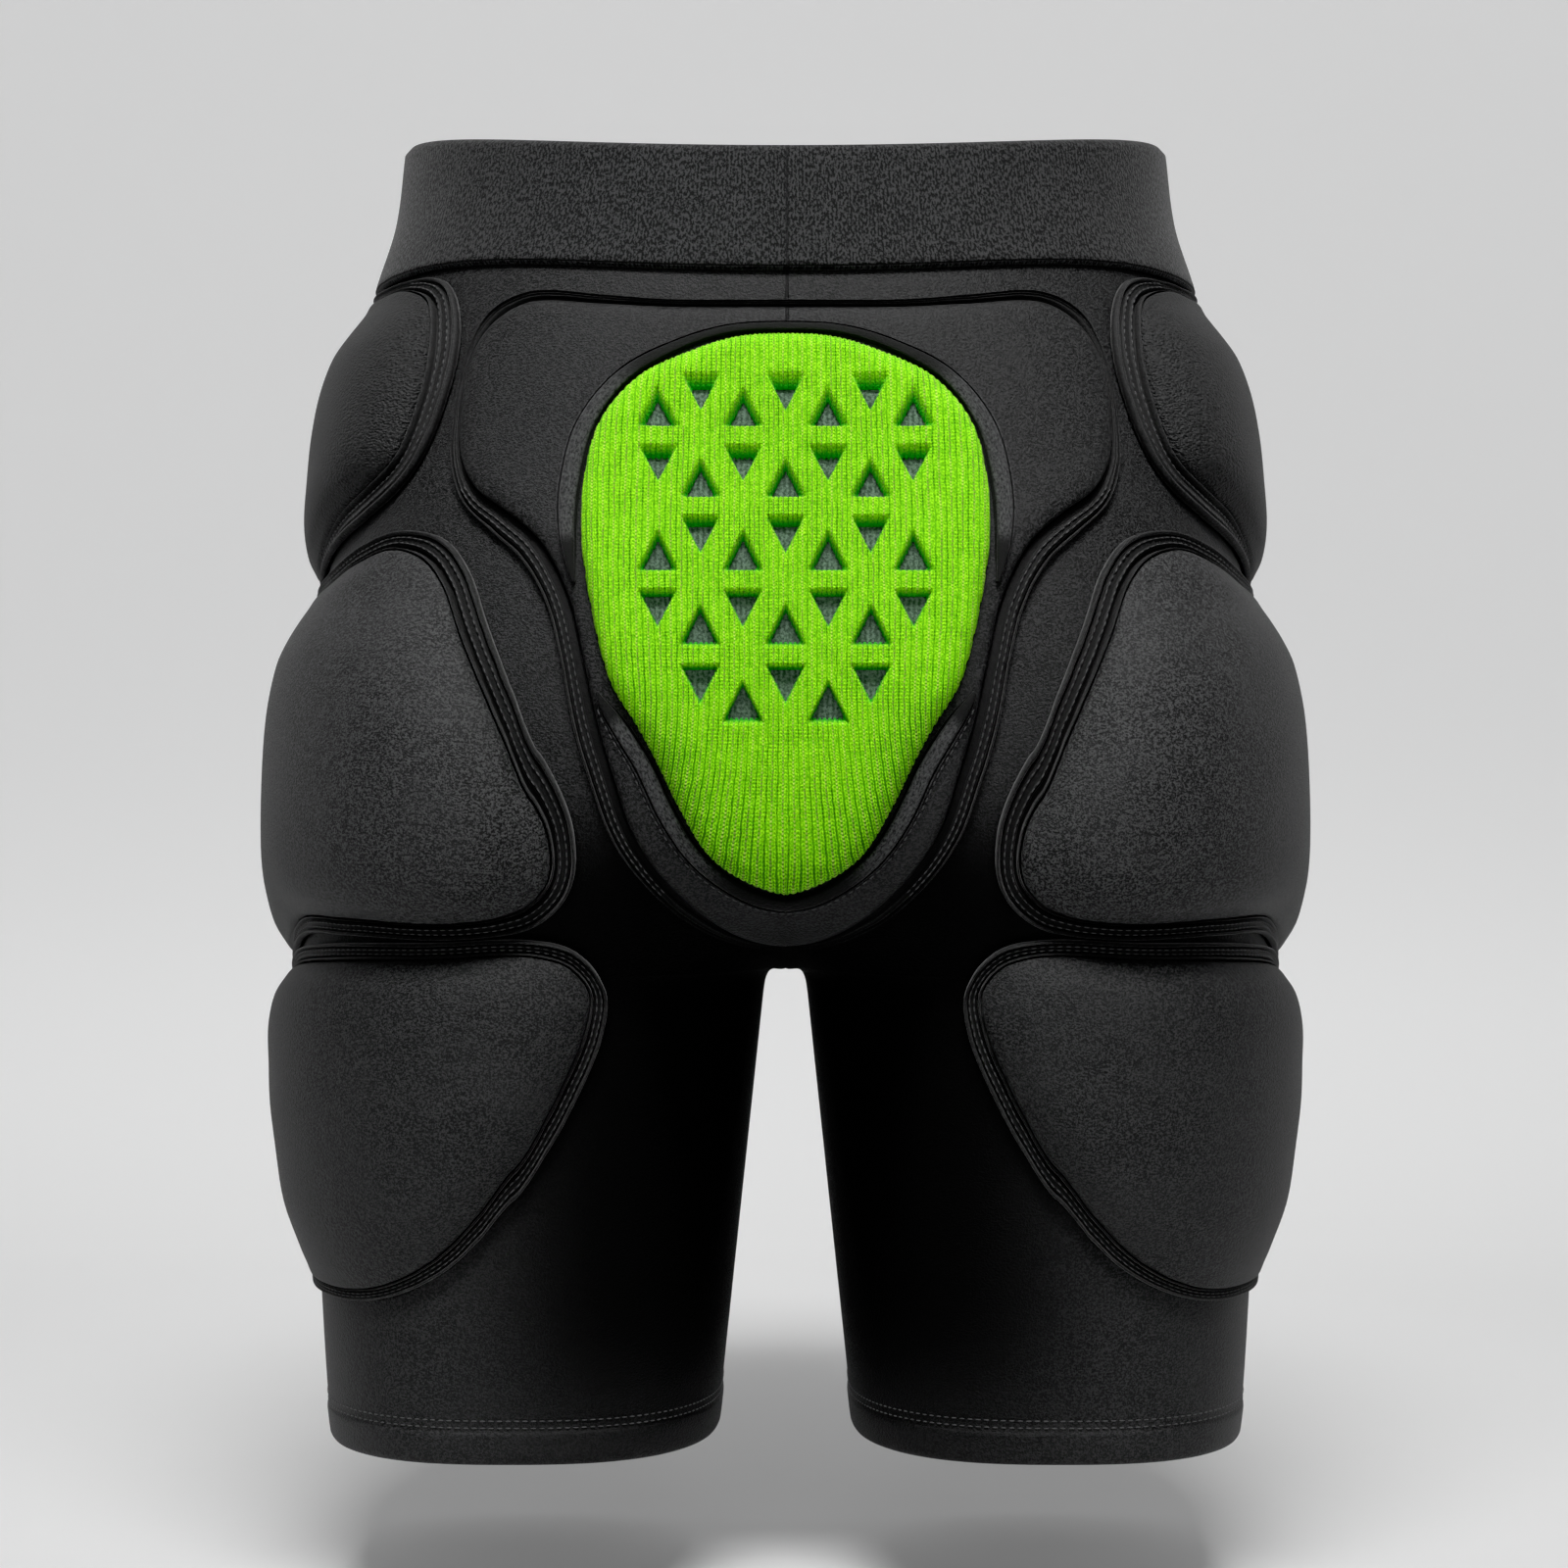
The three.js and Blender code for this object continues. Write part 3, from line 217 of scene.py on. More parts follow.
# One table from the waist to the hem, in millimetres below the waist
crotchBack = mix(body["waistDepth"], body["seatDepth"], torsoRows["back"][-1])
crotchFront = mix(body["waistDepth"], body["bellyDepth"], torsoRows["belly"][-1])
bodyLine = {
    "drop": np.append(torsoRows["down"] * torsoLength, torsoLength + legRows["down"] * legLength),
    "half": np.append(
        mix(body["waistHalfWidth"], body["thighHalfWidth"], torsoRows["wide"]),
        mix(body["thighHalfWidth"], body["hemHalfWidth"], legRows["wide"]),
    ),
    "back": np.append(
        mix(body["waistDepth"], body["seatDepth"], torsoRows["back"]),
        mix(crotchBack, body["hemBackDepth"], legRows["back"]),
    ),
    "front": np.append(
        mix(body["waistDepth"], body["bellyDepth"], torsoRows["belly"]),
        mix(crotchFront, body["hemFrontDepth"], legRows["belly"]),
    ),
    "crest": np.append(torsoRows["crest"], legRows["crest"]),
    "square": np.append(torsoRows["square"], legRows["square"]),
}
cleftCurve = body["cleftGrowth"] / torsoLength
legSplay = (body["hemHalfGap"] - body["crotchHalfGap"]) / legLength


# Half the gap between the legs. Above the crotch it is negative, and the halves merge
def innerGap(z):
    above = z - crotchLevel
    rounding = 1 - np.exp(np.minimum(above, 0) / body["gapRound"])
    below = body["crotchHalfGap"] * rounding - legSplay * above
    return np.where(above >= 0, -above * (body["cleftSlope"] + cleftCurve * above), below)


# Plan of one leg, or of one half of the seat, at a level
def section(z, wall=0.0):
    z = np.asarray(z, float)
    at = {
        name: curveThrough(bodyLine["drop"], bodyLine[name], bandTop - z)
        for name in bodyLine if name != "drop"
    }
    middle = at["half"] * at["crest"]
    gap = innerGap(z - body["crotchSeam"]) + wall if wall > 0 else innerGap(z)
    return {
        "middle": middle, "outer": at["half"] - middle - wall, "inner": middle - gap,
        "back": at["back"] - wall, "front": at["front"] - wall, "power": at["square"],
    }


def signedPower(value, power):
    return np.sign(value) * np.abs(value) ** power


def sectionPoint(form, turn, out=0.0):
    c, s = np.cos(turn), np.sin(turn)
    wide = np.where(c > 0, form["outer"], form["inner"]) + out
    deep = np.where(s > 0, form["front"], form["back"]) + out
    flat = 2 / form["power"]
    return form["middle"] + wide * signedPower(c, flat), deep * signedPower(s, flat)


def lastTurn(form, out=0.0):
    share = np.minimum(1, form["middle"] / (form["inner"] + out))
    return np.arccos(-(share ** (form["power"] / 2)))


arcSteps = 36
probe = 1.5


def skinPlace(around, z):
    form = section(z)
    column = {key: value[:, None] for key, value in form.items()}
    direction = np.where(around > 0, -1.0, 1.0)
    turns = direction[:, None] * np.linspace(0, math.pi, arcSteps + 1)[None]
    x, y = sectionPoint(column, turns)
    walked = np.cumsum(np.hypot(np.diff(x), np.diff(y)), axis=1)
    i = np.minimum((walked < np.abs(around)[:, None]).sum(1), arcSteps - 1)
    rows = np.arange(len(i))
    before = np.where(i > 0, walked[rows, i - 1], 0.0)
    t = (np.abs(around) - before) / (walked[rows, i] - before)
    px, py = sectionPoint(form, direction * (i + t) * math.pi / arcSteps)
    return np.stack([px, py, z], 1)


def unit(v):
    return v / np.linalg.norm(v, axis=1, keepdims=True)


# The skin at a distance round the side towards the back, raised along its normal
def skinPoint(around, z, out):
    alongA = skinPlace(around + probe, z) - skinPlace(around - probe, z)
    alongZ = skinPlace(around, z + probe) - skinPlace(around, z - probe)
    return skinPlace(around, z) + unit(np.cross(alongZ, alongA)) * np.asarray(out)[..., None]


def aroundAt(x, z):
    form = section(z)
    px, py = sectionPoint(form, -np.linspace(0, math.pi, arcSteps + 1))
    walked = np.append(0, np.cumsum(np.hypot(np.diff(px), np.diff(py))))
    i = int(np.argmax(px <= x))
    return walked[i - 1] + (walked[i] - walked[i - 1]) * (px[i - 1] - x) / (px[i - 1] - px[i])


bridgeEnd = yokeBottom + yoke["bend"] * yoke["height"]
cleftShare = 0.75


def backDepth(x, z):
    form = section(z)
    beyond = np.abs(x) - form["middle"]
    wide = np.where(beyond > 0, form["outer"], form["inner"])
    fall = 1 - np.minimum(0.999, np.abs(beyond) / wide) ** form["power"]
    skin = -form["back"] * fall ** (1 / form["power"])
    follow = cleftShare * smooth(-z, -bridgeEnd, -yokeBottom)
    return np.where(beyond > 0, skin, mix(-form["back"], skin, follow))


# The back that the yoke lies on: it bridges the cleft and follows it under the seat
def backPoint(x, z, out):
    dx = (backDepth(x + probe, z) - backDepth(x - probe, z)) / (2 * probe)
    dz = (backDepth(x, z + probe) - backDepth(x, z - probe)) / (2 * probe)
    normal = unit(np.stack([dx, -np.ones_like(dx), dz], 1))
    return np.stack([x, backDepth(x, z), z], 1) + normal * np.asarray(out)[..., None]


# Even steps along a centripetal curve through (x, y, share), with the outward normal
def smoothLine(points, count, closed=True):
    p = np.array(points, float)
    n = len(p)
    if closed:
        quads = [(p[(i - 1) % n], p[i], p[(i + 1) % n], p[(i + 2) % n]) for i in range(n)]
    else:
        p = np.vstack([2 * p[0] - p[1], p, 2 * p[-1] - p[-2]])
        quads = [(p[i], p[i + 1], p[i + 2], p[i + 3]) for i in range(n - 1)]
    t = np.linspace(0, 1, 40, endpoint=False)[:, None]
    fine = []
    for a, b, c, d in quads:
        d0, d1, d2 = (np.linalg.norm(v) ** 0.5 for v in (b - a, c - b, d - c))
        t1 = ((b - a) / d0 - (c - a) / (d0 + d1) + (c - b) / d1) * d1
        t2 = ((c - b) / d1 - (d - b) / (d1 + d2) + (d - c) / d2) * d1
        fine.append(b + t1 * t + (3 * (c - b) - 2 * t1 - t2) * t**2 + (2 * (b - c) + t1 + t2) * t**3)
    fine = np.vstack(fine + [quads[-1][2][None]])
    walked = np.append(0, np.cumsum(np.linalg.norm(np.diff(fine, axis=0), axis=1)))
    at = np.linspace(0, walked[-1], count + 1)[: count if closed else count + 1]
    line = np.stack([np.interp(at, walked, fine[:, k]) for k in range(3)], 1)
    ahead = np.roll(line, -1, 0) - np.roll(line, 1, 0)
    if not closed:
        ahead[0] = line[1] - line[0]
        ahead[-1] = line[-1] - line[-2]
    run = np.hypot(ahead[:, 0], ahead[:, 1])
    return {
        "x": line[:, 0], "y": line[:, 1], "share": line[:, 2],
        "nx": -ahead[:, 1] / run, "ny": ahead[:, 0] / run,
    }


def wholeOutline(x, y, share):
    half = np.stack([x, y, share], 1)
    return np.vstack([half, (half * [-1, 1, 1])[-2:0:-1]])


# Pieces from grids and rings

def makePiece(name, points, faces, material, weld=True):
    mesh = bpy.data.meshes.new(name)
    corners = [tuple(p) for p in np.asarray(points) * mm]
    mesh.from_pydata(corners, [], [tuple(int(i) for i in f) for f in faces])
    work = bmesh.new()
    work.from_mesh(mesh)
    if weld:
        bmesh.ops.remove_doubles(work, verts=work.verts, dist=0.004 * mm)
    bmesh.ops.recalc_face_normals(work, faces=work.faces)
    if all(len(e.link_faces) == 2 for e in work.edges) and work.calc_volume(signed=True) < 0:
        bmesh.ops.reverse_faces(work, faces=work.faces)
    work.to_mesh(mesh)
    work.free()
    mesh.shade_smooth()
    mesh.materials.append(material)
    piece = bpy.data.objects.new(name, mesh)
    bpy.context.scene.collection.objects.link(piece)
    return piece


def gridFaces(rows, cols, closeRows=False, closeCols=False, start=0):
    r = np.arange(rows if closeRows else rows - 1)
    c = np.arange(cols if closeCols else cols - 1)
    r, c = (a.ravel() for a in np.meshgrid(r, c, indexing="ij"))
    r2, c2 = (r + 1) % rows, (c + 1) % cols
    return start + np.stack([r * cols + c, r2 * cols + c, r2 * cols + c2, r * cols + c2], 1)


# A square grid bent to a disc: which share of the way round, and how far out, each point lies
def discGrid(n):
    side = np.linspace(-1, 1, n + 1)
    b, a = (v.ravel() for v in np.meshgrid(side, side, indexing="ij"))
    flat = np.abs(a) >= np.abs(b)
    safeA, safeB = np.where(a == 0, 1, a), np.where(b == 0, 1, b)
    angle = np.where(flat, math.pi / 4 * b / safeA, math.pi / 2 - math.pi / 4 * a / safeB)
    angle = np.where(np.where(flat, a, b) < 0, angle + math.pi, angle) % (2 * math.pi)
    radius = np.maximum(np.abs(a), np.abs(b))
    edge = np.flatnonzero(radius > 1 - 1e-9)
    return angle / (2 * math.pi), radius, gridFaces(n + 1, n + 1), edge[np.argsort(angle[edge])]


def distanceTo(outline, x, y):
    rim = np.stack([outline["x"], outline["y"]], 1)
    ahead = np.roll(rim, -1, 0) - rim
    long = (ahead**2).sum(1)
    best = np.full(len(x), 1e9)
    for k in range(len(rim)):
        dx, dy = x - rim[k, 0], y - rim[k, 1]
        t = np.clip((dx * ahead[k, 0] + dy * ahead[k, 1]) / long[k], 0, 1)
        best = np.minimum(best, (dx - t * ahead[k, 0]) ** 2 + (dy - t * ahead[k, 1]) ** 2)
    return np.sqrt(best)


def crown(distance, slope, power=2.6):
    return np.sqrt(1 - (1 - np.clip(distance / slope, 0, 1)) ** power)


# share: part of the way from the edge to the middle; out: part of the rise above the edge
foamCrown = columns("share out", [
    (0.0, 0.0), (0.05, 0.34), (0.14, 0.68), (0.32, 0.92), (0.62, 0.988), (1.0, 1.0),
])


def foamRise(share):
    return curveThrough(np.sqrt(foamCrown["share"]), foamCrown["out"], np.sqrt(share))


# Closed pad: crowned face, steep edge and a bed on the cloth
def padShape(outline, middle, surface, height, n, gather=1.35):
    turn, radius, faces, edge = discGrid(n)
    count = len(outline["x"])
    places = np.arange(count + 1) / count
    rimX = np.interp(turn, places, np.append(outline["x"], outline["x"][0]))
    rimY = np.interp(turn, places, np.append(outline["y"], outline["y"][0]))
    share = (1 - radius) ** gather
    x, y = mix(rimX, middle[0], share), mix(rimY, middle[1], share)
    far = distanceTo(outline, x, y)
    top = surface(x, y, fit["seat"] + height(far, share, y))
    bed = surface(x, y, np.full(len(x), fit["seat"] * 1.0) + 0.8 * smooth(far, 0, 12))
    around = np.roll(edge, -1)
    side = np.stack([edge, around, around + len(x), edge + len(x)], 1)
    return np.vstack([top, bed]), np.vstack([faces, faces[:, ::-1] + len(x), side])


# Cross profile of a border. cords: share across, half width and height; strip: from, to, height
def borderProfile(cords, strip, count=48):
    a = np.linspace(0, 1, count)
    low, high, flat = strip
    edge = 0.025
    out = flat * smooth(a, low, low + edge) * (1 - smooth(a, high - edge, high))
    for centre, half, height in cords:
        hump = np.sqrt(np.clip(1 - ((a - centre) / half) ** 2, 0, 1))
        out = np.maximum(out, height * hump)
    out = np.maximum(out, 0.12 * smooth(a, 0, 0.02) * (1 - smooth(a, 0.98, 1)))
    return a, out


def borderShape(outline, surface, width, profile, uneven):
    a, out = profile
    n, k = len(outline["x"]), len(a)
    turns = np.arange(n) * 2 * math.pi
    wave = sum(np.cos(turns * f / n + rough.uniform(0, 6.3)) for f in (23, 37, 61)) / 3
    inside = 4 * a * (1 - a)  # the strip wanders, its two edges stay
    wander = a[None] + uneven * wave[:, None] * inside[None]
    across = fit["clear"] + wander * width * outline["share"][:, None]
    x = outline["x"][:, None] + outline["nx"][:, None] * across
    y = outline["y"][:, None] + outline["ny"][:, None] * across
    narrow = np.minimum(1, 0.55 + 0.5 * outline["share"])[:, None]  # a narrow border is lower
    high = fit["seat"] + out[None] * narrow * (1 + uneven * np.roll(wave, 40)[:, None])
    points = surface(x.ravel(), y.ravel(), high.ravel())
    # groove: how far down in a groove a point lies, where the finish paints shade
    groove = np.broadcast_to(1 - smooth(out, 0.9, 1.7)[None], x.shape).ravel()
    return points, gridFaces(n, k, closeRows=True, closeCols=True), groove


def mark(piece, name, values):
    layer = piece.data.attributes.new(name, "FLOAT", "POINT")
    layer.data.foreach_set("value", np.asarray(values, np.float32))


def rowOn(outline, surface, width, share, out):
    across = fit["clear"] + share * width * outline["share"]
    x = outline["x"] + outline["nx"] * across
    y = outline["y"] + outline["ny"] * across
    return surface(x, y, np.full(len(x), fit["seat"] + out))


# Finishes: an expression on sockets adds its Math nodes; the sizes in them are in metres

class Wire:
    def __init__(self, finish, socket):
        self.finish = finish
        self.socket = socket

    def __add__(self, other):
        return self.finish.math("ADD", self, other)

    def __radd__(self, other):
        return self.finish.math("ADD", other, self)

    def __sub__(self, other):
        return self.finish.math("SUBTRACT", self, other)

    def __rsub__(self, other):
        return self.finish.math("SUBTRACT", other, self)

    def __mul__(self, other):
        return self.finish.math("MULTIPLY", self, other)

    def __rmul__(self, other):
        return self.finish.math("MULTIPLY", other, self)

    def __truediv__(self, other):
        return self.finish.math("DIVIDE", self, other)


class Finish:
    def __init__(self, name):
        self.material = bpy.data.materials.new(name)
        self.material.use_nodes = True
        self.tree = self.material.node_tree
        self.tree.nodes.clear()

    def put(self, socket, value):
        if isinstance(value, Wire):
            self.tree.links.new(value.socket, socket)
        else:
            socket.default_value = value

    def node(self, kind, settings=None, values=None, out=0):
        made = self.tree.nodes.new("ShaderNode" + kind)
        for name, value in (settings or {}).items():
            if name == "stops":
                ramp = made.color_ramp.elements
                for i, (place, colour) in enumerate(value):
                    stop = ramp[i] if i < 2 else ramp.new(place)
                    stop.position = place
                    stop.color = (*colour, 1)
            else:
                setattr(made, name, value)
        for name, value in (values or {}).items():
            self.put(made.inputs[name], value)
        return Wire(self, made.outputs[out])

    def math(self, operation, a, b=0.0):
        return self.node("Math", {"operation": operation}, {0: a, 1: b})

    def step(self, value, low, high):
        values = {0: value, 1: low, 2: high, 3: 0.0, 4: 1.0}
        return self.node("MapRange", {"interpolation_type": "SMOOTHSTEP"}, values)

    def colour(self, factor, a, b):
        return self.node("Mix", {"data_type": "RGBA"}, {0: factor, 6: a, 7: b}, out=2)

    def noise(self, place, scale, detail=2.0, roughness=0.5):
        values = {"Vector": place, "Scale": scale, "Detail": detail, "Roughness": roughness}
        return self.node("TexNoise", None, values)

    def place(self, scale=(1, 1, 1), at=None):
        at = at or self.node("TexCoord", None, None, "Object")
        return self.node("Mapping", None, {"Vector": at, "Scale": scale})

    def marked(self, name):
        return self.node("Attribute", {"attribute_name": name}, None, "Fac")

    def axis(self, place, name):
        return self.node("SeparateXYZ", None, {0: place}, name)

    def bump(self, height, strength, distance):
        return self.node("Bump", None, {"Height": height, "Strength": strength, "Distance": distance})

    def surface(self, values, sheen=0.0, tint=(1, 1, 1), specular=0.5, dark=None):
        shader = self.node("BsdfPrincipled", None, {
            "Sheen Weight": sheen, "Sheen Roughness": 0.45, "Sheen Tint": (*tint, 1),
            "Specular IOR Level": specular, **values,
        })
        # dark: a mask of painted shade, where the surface is blended towards black
        if dark is not None:
            black = self.node("BsdfPrincipled", None, {
                "Base Color": (0.0004, 0.0004, 0.0004, 1), "Roughness": 0.9, "Specular IOR Level": 0.0,
            })
            shader = self.node("MixShader", None, {0: dark * 0.55, 1: shader, 2: black})
        end = self.tree.nodes.new("ShaderNodeOutputMaterial")
        self.tree.links.new(shader.socket, end.inputs["Surface"])
        return self.material


def grey(value, cool=1.03):
    return (value, value * (1 + cool) / 2, value * cool, 1)


# Brushed stretch jersey: fine grain in colour and height, faint wear, painted highlights on the crests
# of the creases, and painted shade on the inner thighs
def jersey(name, tone, grain, sheen, creases=0.0, seam=False, thighShade=None):
    f = Finish(name)
    at = f.place()
    inner = None
    fine = f.noise(at, 1600.0, 2.0, 0.7)
    weave = f.noise(f.place((1, 1, 1.5)), 850.0, 1.0, 0.5)
    broad = f.noise(at, 28.0, 3.0, 0.55)
    speck = f.step(fine * 0.65 + weave * 0.35, 0.46, 0.57)
    shade = f.colour(speck, grey(tone * 0.04), grey(tone * 2.7))
    tinted = f.colour(f.step(broad, 0.4, 0.68) * 0.25, shade, grey(tone * 1.9))
    high = fine * 0.6 + weave * 0.4
    # Painted shade: the inner thighs are darkened by place, and blended towards black in surface()
    if thighShade:
        x, z = f.math("ABSOLUTE", f.axis(at, "X")), f.axis(at, "Z")
        low = f.step(z, *thighShade["low"])
        behind = 1 - f.step(f.axis(at, "Y"), *thighShade["behind"])
        inner = (1 - f.step(x, *thighShade["out"])) * low * (1 - f.step(z, *thighShade["high"])) * behind
        tinted = f.colour(inner * thighShade["strength"], tinted, grey(tone * 0.02))
    if creases:
        values = {"Vector": f.place((1.0, 1.0, 1.6)), "Scale": 900.0}
        folds = f.node("TexVoronoi", {"feature": "SMOOTH_F1"}, values)
        slope = f.marked("slope")
        high = high + folds * slope * creases
        # Painted highlight: the crests of the creases are lighter in colour
        tinted = f.colour(f.step(folds, 0.25, 0.75) * slope * 0.4, tinted, grey(tone * 2.4))
    if seam:
        x, z = f.axis(at, "X"), f.axis(at, "Z")
        beside = f.math("ABSOLUTE", x - 0.5 * mm)
        line = (1 - f.step(beside, 0.15 * mm, 0.6 * mm)) * f.step(z, tailTop * mm, (yokeTop - 8) * mm)
        tinted = f.colour(line * 0.85, tinted, grey(tone * 0.12))
        high = high - line * 1.4
    return f.surface({
        "Base Color": tinted, "Roughness": 0.58 + speck * 0.12,
        "Normal": f.bump(high, 1.0, 0.8 * mm * grain),
    }, sheen=sheen, specular=0.34, dark=inner)


# Tape and cord of the borders: fine grain, and painted shade down in the grooves
def piping(name, tone):
    f = Finish(name)
    at = f.place()
    fine = f.noise(at, 1300.0, 2.0, 0.65)
    fuzz = f.noise(at, 420.0, 3.0, 0.6)
    groove = f.marked("groove")
    speck = f.step(fine, 0.36, 0.66)
    shade = f.colour(speck, grey(tone * 0.2), grey(tone * 2.2))
    tinted = f.colour(f.step(fuzz, 0.42, 0.7) * 0.5, shade, grey(tone * 3.2))
    # Painted shade down in the grooves
    dark = f.colour(f.step(groove, 0.05, 0.9), tinted, grey(tone * 0.05))
    return f.surface({
        "Base Color": dark, "Roughness": 0.62 + fuzz * 0.2,
        "Normal": f.bump(fine * 0.6 + fuzz * 0.4, 0.8, 0.5 * mm),
    }, sheen=0.15, specular=0.35)


# Knitted elastic: short upright specks, a sewn edge below and a seam at the back
def knitBand(name, tone):
    f = Finish(name)
    at = f.node("UVMap", {"uv_map": "weave"}, None)
    around, up = f.axis(at, "X"), f.axis(at, "Y")
    specks = f.noise(f.place((1.0, 0.55, 1.0), at), 1.25, 2.0, 0.6)
    fine = f.noise(f.place(), 1500.0, 2.0, 0.6)
    broad = f.noise(f.place(), 90.0, 2.0, 0.5)
    ribs = f.math("SINE", around * (2 * math.pi / 1.3))
    mixed = specks * 0.7 + fine * 0.3 + ribs * 0.02 + (broad - 0.5) * 0.06
    bright = f.step(mixed, 0.46, 0.56)
    shade = f.colour(bright, grey(tone * 0.03), grey(tone * 3.5))
    seam = 1 - f.step(f.math("ABSOLUTE", around - 0.5), 0.2, 0.75)
    hem = 1 - f.step(f.math("ABSOLUTE", f.marked("hem") - 1.7), 0.15, 0.5)
    lines = f.math("MAXIMUM", seam * 0.7, hem)
    dark = f.colour(lines, shade, grey(tone * 0.06))
    return f.surface({
        "Base Color": dark, "Roughness": 0.78 + fine * 0.12,
        "Normal": f.bump(mixed * 1.6 - lines, 0.8, 0.5 * mm),
    }, sheen=0.1, specular=0.3)


# Tape round the tail pad: threads along it, painted shade in the low grooves at its edges, and darker
# where it narrows towards its ends
def tapeWeave(name, tone):
    f = Finish(name)
    along = f.node("UVMap", {"uv_map": "weave"}, None)
    threads = f.noise(f.place((0.55, 1.5, 1.0), along), 1.2, 3.0, 0.65)
    fine = f.noise(f.place(), 1100.0, 3.0, 0.7)
    groove = f.marked("groove")
    high = threads * 0.6 + fine * 0.5
    speck = f.step(high, 0.42, 0.68)
    shade = f.colour(speck, grey(tone * 0.15), grey(tone * 2.2))
    # Painted shade in the low grooves; darker towards the narrow ends
    dark = f.colour(f.step(groove, 0.1, 0.8), shade, grey(tone * 0.02))
    return f.surface({
        "Base Color": dark, "Roughness": 0.74 + speck * 0.1,
        "Normal": f.bump(high, 0.8, 0.5 * mm),
    }, sheen=0.15, specular=0.3)


# Painted shade: the cover is darker low between its loops, in its pores and down in the vents
# Knitted cover. weave: wales across, courses along. dip: 0 on the face, 1 down in a vent.
# open: 1 where the loops are drawn apart
def limeKnit(name):
    f = Finish(name)
    wales = f.node("UVMap", {"uv_map": "weave"}, None)
    jitter = f.noise(f.place(), 220.0, 2.0, 0.6)
    u = f.axis(wales, "X") + (jitter - 0.5) * 0.5
    v = f.axis(wales, "Y") + (jitter - 0.5) * 0.55
    side = f.math("ABSOLUTE", f.math("FRACT", u) - 0.5)
    course = f.math("ABSOLUTE", f.math("FRACT", v) - 0.5)
    loops = 1 - f.math("ABSOLUTE", f.math("FRACT", v + side * 1.3) - 0.5) * 2  # legs lean together
    legs = 1 - f.math("ABSOLUTE", side - 0.2) * 4.0
    pores = f.step(side, 0.28, 0.48) * f.step(course, 0.1, 0.34)
    patch = f.noise(f.place(), 130.0, 2.0, 0.6)
    pores = pores * (0.25 + f.step(patch, 0.42, 0.6) * 0.75)
    rail = f.step(f.math("ABSOLUTE", f.math("FRACT", u * 0.5) - 0.5), 0.38, 0.47)
    rungs = f.step(course, 0.14, 0.36)
    fluff = f.noise(f.place(), 1500.0, 2.0, 0.6)
    dip = f.marked("dip")
    loose = f.marked("open")
    high = legs * 0.55 + loops * 0.45 + fluff * 0.3 - pores * 0.9
    lit = f.step(high, loose * 0.5, 0.75 + loose * 0.45)
    yarn = f.colour(f.step(fluff, 0.4, 0.62), (0.16, 0.62, 0.003, 1), (0.36, 0.93, 0.012, 1))
    # Painted shade low between the loops, darkest where they are drawn apart
    valley = f.colour(loose, (0.105, 0.51, 0.002, 1), (0.012, 0.1, 0.002, 1))
    looped = f.colour(lit, valley, yarn)
    face = f.colour(rail * rungs * 0.85, looped, (0.74, 1.0, 0.16, 1))
    # Painted shade in the pores
    pitted = f.colour(pores * (0.75 + loose * 0.25), face, (0.015, 0.12, 0.002, 1))
    # Painted shade: the cover is dark green down in the vents
    deep = f.colour(f.step(dip, 0.04, 0.9), pitted, (0.005, 0.34, 0.01, 1))
    return f.surface({
        "Base Color": deep, "Roughness": 0.8 + fluff * 0.1, "Normal": f.bump(high, 0.9, 0.5 * mm),
    }, sheen=0.15, tint=(0.7, 1, 0.3), specular=0.25)


# Foam under the cover, with fine upright ribs
def ribbedFoam(name):
    f = Finish(name)
    at = f.place()
    x = f.axis(at, "X")
    ribs = f.math("SINE", x * (2 * math.pi / (1.7 * mm)))
    fine = f.noise(at, 1100.0, 2.0, 0.65)
    high = ribs * 0.06 + fine
    lit = f.step(high, 0.3, 0.75)
    shade = f.colour(lit, (0.03, 0.058, 0.036, 1), (0.155, 0.22, 0.17, 1))
    return f.surface({
        "Base Color": shade, "Roughness": 0.8 + fine * 0.1, "Normal": f.bump(high, 0.8, 0.6 * mm),
    }, specular=0.3)


def thread(name, tone):
    f = Finish(name)
    fine = f.noise(f.place(), 2400.0, 2.0, 0.6)
    shade = f.colour(fine, grey(tone * 0.6), grey(tone * 1.5))
    return f.surface({"Base Color": shade, "Roughness": 0.5 + fine * 0.2}, sheen=0.1, specular=0.5)


# Pale paper that glows more the further it lies beyond the garment
def paper(name, tone, glow):
    f = Finish(name)
    at = f.place()
    faint = f.noise(at, 3.0, 3.0, 0.5)
    shade = f.colour(faint, grey(tone * 0.98, 1.0), grey(tone * 1.02, 1.0))
    lit = f.colour(f.step(f.axis(at, "Y"), 0.1, 1.4), grey(0.13, 1.0), grey(0.78, 1.0))
    return f.surface({
        "Base Color": shade, "Roughness": 0.9 + faint * 0.05,
        "Emission Color": lit, "Emission Strength": glow,
    }, specular=0.1)


# Painted shade on the inner thighs, which the light hardly reaches: fading ends of the shaded place, in
# metres
paintedThighShade = {
    "out": (0.055, 0.12), "low": (-0.46, -0.36), "high": (-0.235, -0.19), "behind": (-0.03, 0.03),
    "strength": 0.96,
}
padCloth = jersey("padCloth", 0.0205, 1.0, 0.03)
legCloth = jersey("legCloth", 0.0125, 1.0, 0.03)
hipCloth = jersey("hipCloth", 0.0095, 1.0, 0.03, creases=0.9)
shellCloth = jersey("shellCloth", 0.0095, 0.9, 0.02, seam=True, thighShade=paintedThighShade)
yokeCloth = jersey("yokeCloth", 0.0095, 0.8, 0.02, seam=True)
weltTape = piping("weltTape", 0.0065)
bandCloth = knitBand("bandCloth", 0.01)
rimTape = tapeWeave("rimTape", 0.03)
coverKnit = limeKnit("coverKnit")
coreFoam = ribbedFoam("coreFoam")
blackThread = thread("blackThread", 0.05)
